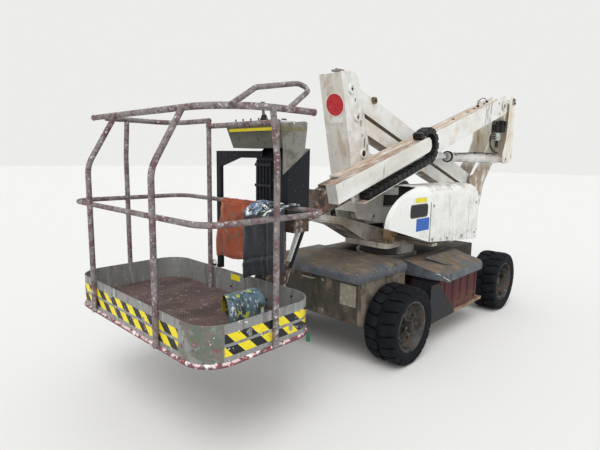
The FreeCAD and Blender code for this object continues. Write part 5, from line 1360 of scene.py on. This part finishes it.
def covers():
    """Turret covers, open at the front behind the rounded edge of their outer wall, with a black sheet inside as
    painted shade.
    """
    for side, hand in SIDES:
        node = "turret_cover_" + hand
        bm = node_copy(node)
        sliced(bm, (COVER_OPEN_X - CENTRE_X, 0, 0), (1, 0, 0))
        sliced(bm, (0, side * COVER_OPEN_Y, 0), (0, 1, 0))
        level = COVER_TIP_Z + 0.01
        while level < COVER_TOP_Z:
            sliced(bm, (0, 0, level), UP)
            level += 0.018
        far = {}
        for v in bm.verts:
            key = round(v.co.z, 3)
            far[key] = max(far.get(key, -9.0), v.co.x + CENTRE_X)
        for v in bm.verts:
            high = (v.co.z - COVER_TIP_Z) / (COVER_TOP_Z - COVER_TIP_Z)
            past = v.co.x + CENTRE_X - COVER_OPEN_X
            reach = far[round(v.co.z, 3)] - COVER_OPEN_X
            if high > 0.0 and past > 0.0 and reach > 0.01:
                new_reach = max(0.005, 0.30 + 0.605 * math.sqrt(max(0.0, 1 - high * high)) - COVER_OPEN_X)
                v.co.x = COVER_OPEN_X + past * new_reach / reach - CENTRE_X
        centres = [(face, face.calc_center_median()) for face in bm.faces]
        mouth = [face for face, c in centres if c.x > COVER_OPEN_X - CENTRE_X and side * c.y < COVER_OPEN_Y]
        bmesh.ops.delete(bm, geom=mouth, context="FACES")
        bmesh.ops.holes_fill(bm, edges=[e for e in bm.edges if e.is_boundary], sides=0)
        bmesh.ops.triangulate(bm, faces=[f for f in bm.faces if len(f.verts) > 12])
        piece(node + "_made", bm, "turret", "cover", (node,), bevel=0.002, angle=30.0)
        # painted shade: a black sheet stands inside each open cover for the shade within
        inside = [at(COVER_OPEN_X - 0.03, side * y, z)
                  for y, z in ((COVER_IN, 0.86), (0.485, 0.86), (0.485, 1.22), (0.400, 1.28), (COVER_IN, 1.28))]
        lining = panel(bent(inside, 0.02, closed=True), (-1, 0, 0), 0.012)
        piece("cover_painted_shade_" + hand, lining, "turret", "black")


def console_fittings():
    """Switches, lever's boot and blank plates on the control box's desk, yellow strip below it."""
    base = 1.711
    dark, bright = [], []
    for k in range(5):
        y = -0.075 + 0.075 * k
        dark.append(bar(at(1.885, y, base - 0.004), at(1.888, y, base + 0.014), 0.012, 16))
        bright.append(bar(at(1.888, y, base + 0.012), at(1.893, y, base + 0.034), 0.004, 12, 0.006))
    for y in (0.06, 0.17, 0.28):
        dark.append(bar(at(1.80, y, base + 0.012), at(1.80, y, base + 0.030), 0.019, 20, 0.016))
    pale = [block(at(1.745, y0, base), at(1.865, y1, base + 0.017)) for y0, y1 in ((-0.11, -0.02), (0.20, 0.33))]
    boot = spun([(0.0, 0.0001), (0.0, 0.034), (0.010, 0.030), (0.016, 0.033), (0.024, 0.024), (0.030, 0.027),
                 (0.040, 0.018), (0.046, 0.020), (0.060, 0.0105), (0.060, 0.0001)], 32)
    dark.append(moved(boot, at(1.820, 0.120, base + 0.004), ("X", 90.0)))
    piece("console_knobs", dark, "cage", "black")
    piece("console_toggles", bright, "cage", "steel")
    piece("console_plates", pale, "cage", "plate", bevel=0.003)
    piece("console_strip", block(at(1.9245, -0.10, 1.664), at(1.9262, 0.35, 1.682)), "cage", "yellow")


def mast_fittings():
    """Ribbed front of the mast, cable clips, and the rod and bolts of the dark bracket under it."""
    ribs = [tube([at(1.866, y, 1.135), at(1.866, y, 1.485)], 0.010, count=12)
            for y in (0.112, 0.142, 0.172, 0.202, 0.232)]
    piece("mast_ribs", ribs, "cage", "mast")
    clips = [block(at(1.858, 0.098, z), at(1.880, 0.248, z + 0.018)) for z in (1.19, 1.32, 1.45)]
    piece("mast_clips", clips, "cage", "black", bevel=0.003)
    top, bend, low = at(1.700, 0.372, 1.060), at(1.752, 0.305, 0.800), at(1.768, 0.290, 0.700)
    piece("bracket_rod", bar(top, bend, 0.011, 16), "cage", "black")
    piece("bracket_rod_end", bar(bend, low, 0.006, 12), "cage", "tube")
    bolts = [bolt(at(x, 0.38, z), (0, 1, 0), 0.013, 0.008) for x in (1.74, 1.78) for z in (1.055, 1.10)]
    piece("bracket_bolts", bolts, "cage", "steel")


def toe_fittings():
    """Lug with a hole, blank yellow plate and holes as black discs for their painted shade on the back of the toe
    board.
    """
    lug = spun([(-0.003, 0.010), (-0.003, 0.026), (0.003, 0.026), (0.003, 0.010)], 32)
    moved(lug, at(1.953, -0.241, 0.772), ("Z", 90.0))
    foot = block(at(1.950, -0.266, 0.742), at(1.956, -0.216, 0.768))
    piece("toe_lug", [lug, foot], "cage", "plate", bevel=0.001)
    plate = block(at(1.954, -0.055, 0.690), at(1.9555, 0.042, 0.728))
    piece("toe_plate_yellow", plate, "cage", "yellow", bevel=0.001)
    # painted shade: each hole is a thin black disc standing for the dark inside it
    holes = [bar(at(1.9535, y, z), at(1.9548, y, z), 0.009, 20)
             for y, z in ((-0.056, 0.641), (-0.30, 0.70), (0.52, 0.70), (0.30, 0.63))]
    piece("toe_holes", holes, "cage", "black")


def housing_fittings():
    """Smeared blank plate, handle and bolts on the front housing, seam round the lid's edge."""
    plate = block(at(1.2495, 0.325, 0.450), at(1.2515, 0.470, 0.610))
    piece("housing_plate", plate, "chassis", "smear", bevel=0.0008)
    grip = [at(x, y, 0.600) for x, y in ((1.250, -0.03), (1.282, -0.03), (1.282, 0.085), (1.250, 0.085))]
    piece("housing_handle", tube(bent(grip, 0.012), 0.006, count=12), "chassis", "steel")
    bolts = [bolt(at(1.25, y, z), (1, 0, 0), 0.010, 0.006)
             for y in (-0.45, -0.16, 0.16) for z in (0.36, 0.60)]
    bolts += [bolt(at(x, side * 0.488, 0.60), (0, side, 0), 0.010, 0.006) for side in (1, -1) for x in (0.68, 1.2)]
    piece("housing_bolts", bolts, "chassis", "steel")
    seam = bent([at(1.256, -0.494, 0.630), at(1.256, 0.494, 0.630), at(0.640, 0.494, 0.630)], 0.04)
    piece("lid_seam", tube(seam, 0.004, count=8), "chassis", "step")


def boom_fittings():
    """Bolts on the outer boom, the pivot's ring and pin, bolt plate at the knuckle's top."""
    y, knuckle_y = BOOM_SIDES[1], KNUCKLE_SIDES[1]
    boom_up = on_boom(0, 1, 0) - on_boom(0, 0, 0)
    top_bolts = [bolt(on_boom(s, 0.1025, 0.120), boom_up, 0.012, 0.008) for s in (0.35, 0.62, 0.80, 1.15)]
    piece("boom_top_bolts", top_bolts, "outer_boom", "black")
    side_bolts = [bolt(on_boom(s, n, y), (0, 1, 0), 0.010, 0.006)
                  for s, n in ((0.13, 0.06), (0.13, -0.06), (3.07, 0.07), (3.07, -0.075), (2.98, 0.07))]
    piece("boom_side_bolts", side_bolts, "outer_boom", "steel")
    x, z = BOOM_PIVOT
    pivot = ring_face(at(x, knuckle_y - 0.005, z), 1, 0.052, 0.026, 0.006)
    piece("boom_pivot_ring", pivot, "rear_knuckle", "white")
    piece("boom_pivot_pin", bar(at(x, 0.214, z), at(x, 0.2215, z), 0.027, 32), "rear_knuckle", "black")
    plate = rounded_plate((-2.300, 2.205), (-2.215, 2.280), knuckle_y - 0.0005, 0.008, 0.012)
    bolts = [bolt(at(x, knuckle_y + 0.007, z), (0, 1, 0), 0.012, 0.009)
             for x, z in ((-2.28, 2.225), (-2.235, 2.262))]
    piece("knuckle_plate", plate, "rear_knuckle", "steel", bevel=0.002)
    piece("knuckle_bolts", bolts, "rear_knuckle", "black")


def valve_fittings():
    """Whitish valve body between black solenoids on the near plate's inner face, with its pipe and hoses."""
    x, y, hose_y, ports_z = -1.875, 0.197, 0.190, (1.775, 1.80, 1.825)
    body = softened(block(at(-1.915, 0.180, 1.752), at(-1.835, 0.216, 1.842)), 0.006)
    piece("valve_body", body, "rear_knuckle", "valve")
    dark = [bar(at(x, y, z0), at(x, y, z1), r, sides)
            for z0, z1, r, sides in ((1.842, 1.935, 0.0165, 24), (1.668, 1.752, 0.0175, 24),
                                     (1.935, 1.950, 0.010, 6))]
    dark += [bar(at(-1.839, hose_y, z), at(-1.815, hose_y, z), 0.0085, 6) for z in ports_z]
    piece("valve_black", dark, "rear_knuckle", "black")
    arm = block(at(-1.960, 0.200, 1.765), at(-1.905, 0.216, 1.83))
    piece("valve_bracket", arm, "rear_knuckle", "steel", bevel=0.002)
    for k, z in enumerate(ports_z):
        apart = 0.012 * k
        route = ((-1.815, z), (-1.780, z + 0.001), (-1.715 + apart, z - 0.005), (-1.690 + apart, z - 0.075),
                 (-1.715, 1.655 + apart), (-1.800, 1.612 + apart), (-1.880, 1.600 + apart / 2),
                 (-1.955, 1.600 + apart / 3))
        hose("valve_hose_%d" % (k + 1), "rear_knuckle", [at(hx, hose_y, hz) for hx, hz in route], 0.0065)
    pipe = bent([at(-1.985, 0.211, 1.975), at(-1.965, 0.205, 1.996), at(x, y, 1.996), at(x, y, 1.948)], 0.022)
    piece("valve_pipe", tube(pipe, 0.005, count=12), "rear_knuckle", "black")


def cylinder_fittings():
    """Gland ring, ports, pipe and clips of the luff cylinder."""
    (x0, z0), (x1, z1) = LUFF_BASE, LUFF_EYE
    slope = math.degrees(math.atan2(z1 - z0, x1 - x0))

    def on_luff(s, n, y):
        return along(LUFF_BASE, slope, s, n, y)

    def lump(s, n, y0, y1, length):
        return block(on_luff(s, n, y0), on_luff(s, n, y1) + Vector((length, 0, 0.026)))
    gland = spun([(0.0, 0.046), (0.0, 0.0585), (0.030, 0.0585), (0.030, 0.046)], 48)
    moved(gland, on_luff(1.348, 0.0, 0.120), ("Z", -90.0), ("Y", -slope))
    piece("luff_gland", gland, "luff_barrel", "black", bevel=0.002)
    ports = [lump(1.25, 0.014, 0.152, 0.184, 0.036), lump(0.09, 0.044, 0.100, 0.140, 0.036)]
    piece("luff_ports", ports, "luff_barrel", "steel", bevel=0.003)
    pipe = [on_luff(*spot) for spot in ((0.12, 0.064, 0.120), (0.20, 0.066, 0.135), (0.60, 0.062, 0.142),
                                        (0.95, 0.050, 0.160), (1.18, 0.040, 0.172), (1.262, 0.030, 0.172))]
    piece("luff_pipe", tube(bent(pipe, 0.02), 0.006, count=12), "luff_barrel", "black")
    clips = [lump(s, 0.046, 0.118, 0.150, 0.020) for s in (0.35, 0.70)]
    piece("luff_clips", clips, "luff_barrel", "steel", bevel=0.002)


def arm_fittings():
    """Brown pin end at the top of the upper tie, loop of cable on the boom's rear end."""
    x, z = 0.415, 2.010
    pin = softened(bar(at(x, -0.075, z), at(x, -0.004, z), 0.030, 36), 0.003)
    piece("tie_pin", pin, "upper_tie", "motor")
    # painted shade: a black disc stands for the dark inside the pin's bore
    piece("tie_pin_bore", bar(at(x, -0.006, z), at(x, -0.0025, z), 0.018, 24), "upper_tie", "black")
    loop = [on_boom(*spot) for spot in ((0.52, 0.104, 0.115), (0.515, 0.135, 0.116), (0.47, 0.172, 0.118),
                                        (0.38, 0.180, 0.120), (0.29, 0.150, 0.120), (0.255, 0.104, 0.120))]
    hose("boom_cable", "outer_boom", loop, 0.0045)
    ends = [block(on_boom(s, 0.100, 0.105), on_boom(s, 0.100, 0.130) + Vector((0.022, 0, 0.020)))
            for s in (0.25, 0.51)]
    piece("boom_cable_ends", ends, "outer_boom", "black", bevel=0.002)


def lid_fittings():
    """Stepped panel on the left pod's lid, the crack at its corner and the bright broken edge."""
    z_in, z_out, y_in, y_out = 0.660, 0.602, 0.470, 0.655

    def roof(x, y, up=0.0):
        share = (y - y_in) / (y_out - y_in)
        return at(x, y, z_in + (z_out - z_in) * share + up)
    outline = [roof(-0.33, 0.46), roof(0.26, 0.46), roof(0.17, 0.60), roof(0.10, 0.655), roof(-0.33, 0.655)]
    raised = panel(bent(outline, 0.012, closed=True, step=30.0), (0, 0.3, 1), 0.009)
    piece("lid_panel", raised, "chassis", "lid", bevel=0.003)
    edge = [roof(0.30, 0.47, 0.004), roof(0.235, 0.55, 0.004), roof(0.17, 0.615, 0.004), roof(0.125, 0.672),
            roof(0.02, 0.678, -0.001)]
    piece("lid_crack", tube(edge, 0.0028, count=8), "chassis", "black")
    torn = [at(*spot) for spot in ((0.440, 0.655, 0.600), (0.432, 0.688, 0.592), (0.405, 0.706, 0.578),
                                   (0.412, 0.732, 0.566), (0.372, 0.742, 0.548), (0.350, 0.743, 0.530))]
    piece("lid_torn_edge", tube(torn, 0.0026, count=8), "chassis", "plate")


def cage_brace():
    """Beige brace from the cage's mount to the toe board's near corner; green stub under the rim."""
    low, high = at(1.952, 0.600, 0.690), at(1.700, 0.330, 0.545)
    wide = UP.cross(high - low).normalized() * 0.024
    brace = panel([low - wide, low + wide, high + wide, high - wide], UP, 0.008)
    piece("cage_brace", brace, "cage", "step", bevel=0.002)
    stub = softened(bar(at(2.030, 0.728, 0.512), at(2.030, 0.728, 0.552), 0.013, 20, 0.010), 0.002)
    piece("green_stub", stub, "cage", "green")


# The scene
CAMERA_PLACE = (3.771, 2.307, 1.505)
CAMERA_YAW, CAMERA_PITCH, CAMERA_ROLL = -2.381, 0.148, 0.017
CAMERA_LENS = 27.0


def camera():
    yaw, pitch, roll = CAMERA_YAW, CAMERA_PITCH, CAMERA_ROLL
    ahead = Vector((math.cos(yaw) * math.cos(pitch), math.sin(yaw) * math.cos(pitch), -math.sin(pitch)))
    right = Vector((math.sin(yaw), -math.cos(yaw), 0.0))
    up = right.cross(ahead)
    right, up = right * math.cos(roll) + up * math.sin(roll), up * math.cos(roll) - right * math.sin(roll)
    data = bpy.data.cameras.new("camera")
    data.sensor_width = 36.0
    data.lens = CAMERA_LENS
    obj = linked("camera", data)
    turn = Matrix((right, up, -ahead)).transposed()
    obj.matrix_world = Matrix.Translation(at(*CAMERA_PLACE)) @ turn.to_4x4()
    bpy.context.scene.camera = obj


def studio():
    """Pale ground, even sky with its own colour for what the camera and mirrors see, and two lamps."""
    bm = bmesh.new()
    bmesh.ops.create_grid(bm, x_segments=1, y_segments=1, size=60.0)
    mesh = bpy.data.meshes.new("ground")
    bm.to_mesh(mesh)
    bm.free()
    ground = bpy.data.materials.new("ground_pale")
    ground.use_nodes = True
    bsdf = ground.node_tree.nodes["Principled BSDF"]
    bsdf.inputs["Base Color"].default_value = (0.74, 0.73, 0.71, 1.0)
    bsdf.inputs["Roughness"].default_value = 0.9
    bsdf.inputs["Specular IOR Level"].default_value = 0.1
    mesh.materials.append(ground)
    linked("ground", mesh)

    world = bpy.data.worlds.new("studio")
    bpy.context.scene.world = world
    world.use_nodes = True
    tree = world.node_tree
    shown = tree.nodes.new("ShaderNodeBackground")
    shown.inputs["Color"].default_value = (0.84, 0.84, 0.83, 1.0)
    shown.inputs["Strength"].default_value = 1.0
    soft = tree.nodes["Background"]
    soft.inputs["Color"].default_value = (0.96, 0.98, 1.0, 1.0)
    soft.inputs["Strength"].default_value = 0.78
    path = tree.nodes.new("ShaderNodeLightPath")
    seen = path.outputs["Is Camera Ray"]
    for kind in ("Is Glossy Ray", "Is Transmission Ray"):
        either = tree.nodes.new("ShaderNodeMath")
        either.operation = "MAXIMUM"
        tree.links.new(seen, either.inputs[0])
        tree.links.new(path.outputs[kind], either.inputs[1])
        seen = either.outputs[0]
    mix = tree.nodes.new("ShaderNodeMixShader")
    tree.links.new(seen, mix.inputs[0])
    tree.links.new(soft.outputs[0], mix.inputs[1])
    tree.links.new(shown.outputs[0], mix.inputs[2])
    tree.links.new(mix.outputs[0], tree.nodes["World Output"].inputs["Surface"])

    # aim of each lamp, its strength and how soft its shadow is
    for name, aim, strength, size in (("key", (-0.55, -0.35, -1.0), 1.5, 40.0),
                                      ("fill", (-0.5, -0.6, -0.4), 0.6, 60.0)):
        data = bpy.data.lights.new(name, "SUN")
        data.energy = strength
        data.angle = math.radians(size)
        linked(name, data).rotation_euler = Vector(aim).to_track_quat("-Z", "Y").to_euler()
    bpy.context.scene.view_settings.view_transform = "Standard"


# CAD nodes that keep their form: name, finish and edge rounding in metres
DRESSED = [
    ("chassis_frame", "frame", 0.003), ("front_housing", "housing", 0.003), ("front_lid", "lid", 0.010),
    ("battery_box_left", "maroon", 0.004), ("battery_box_right", "maroon", 0.004),
    ("pod_lid_left", "lid", 0.006), ("pod_lid_right", "lid", 0.006),
    ("pod_sill_left", "sill", 0.002), ("pod_sill_right", "sill", 0.002),
    ("front_axle", "axle", 0.003), ("rear_axle", "axle", 0.003), ("slew_ring", "steel", 0.003),
    ("steer_knuckle_left", "axle", 0.003), ("steer_knuckle_right", "axle", 0.003),
    ("turret_base", "turret", 0.002), ("slew_drum", "drum", 0.003), ("slew_motor", "motor", 0.004),
    ("power_unit", "black", 0.01),
    ("lower_arm", "arm", 0.003), ("lower_tie", "arm", 0.003), ("front_post", "post", 0.002),
    ("upper_arm", "riser", 0.003), ("upper_tie", "riser", 0.003), ("rear_knuckle", "knuckle", 0.002),
    ("valve_block", "black", 0.003), ("boom_outer", "boom", 0.003), ("boom_inner", "inner", 0.003),
    ("chain_tray", "tray", 0.002), ("energy_chain", "chain", 0.0015), ("cage_mount", "inner", 0.002),
    ("mast", "mast", 0.003), ("console", "console", 0.003), ("cage_floor", "floor", 0.001),
    ("lower_lift_barrel", "white", 0.002), ("upper_lift_barrel", "white", 0.002),
    ("luff_barrel", "white", 0.002), ("level_barrel", "white", 0.002),
    ("lower_lift_rod", "chrome", 0.001), ("upper_lift_rod", "chrome", 0.001), ("luff_rod", "chrome", 0.001),
    ("level_rod", "chrome", 0.001),
]

camera()
studio()
wheels()
cage()
for node, finish, edge in DRESSED:
    dress(node, finish, edge)
folding_pins()
post_fittings()
covers()
cover_fittings()
console_fittings()
mast_fittings()
toe_fittings()
housing_fittings()
boom_fittings()
valve_fittings()
arm_fittings()
lid_fittings()
cage_brace()
cylinder_fittings()
bag()
mat()
hood()
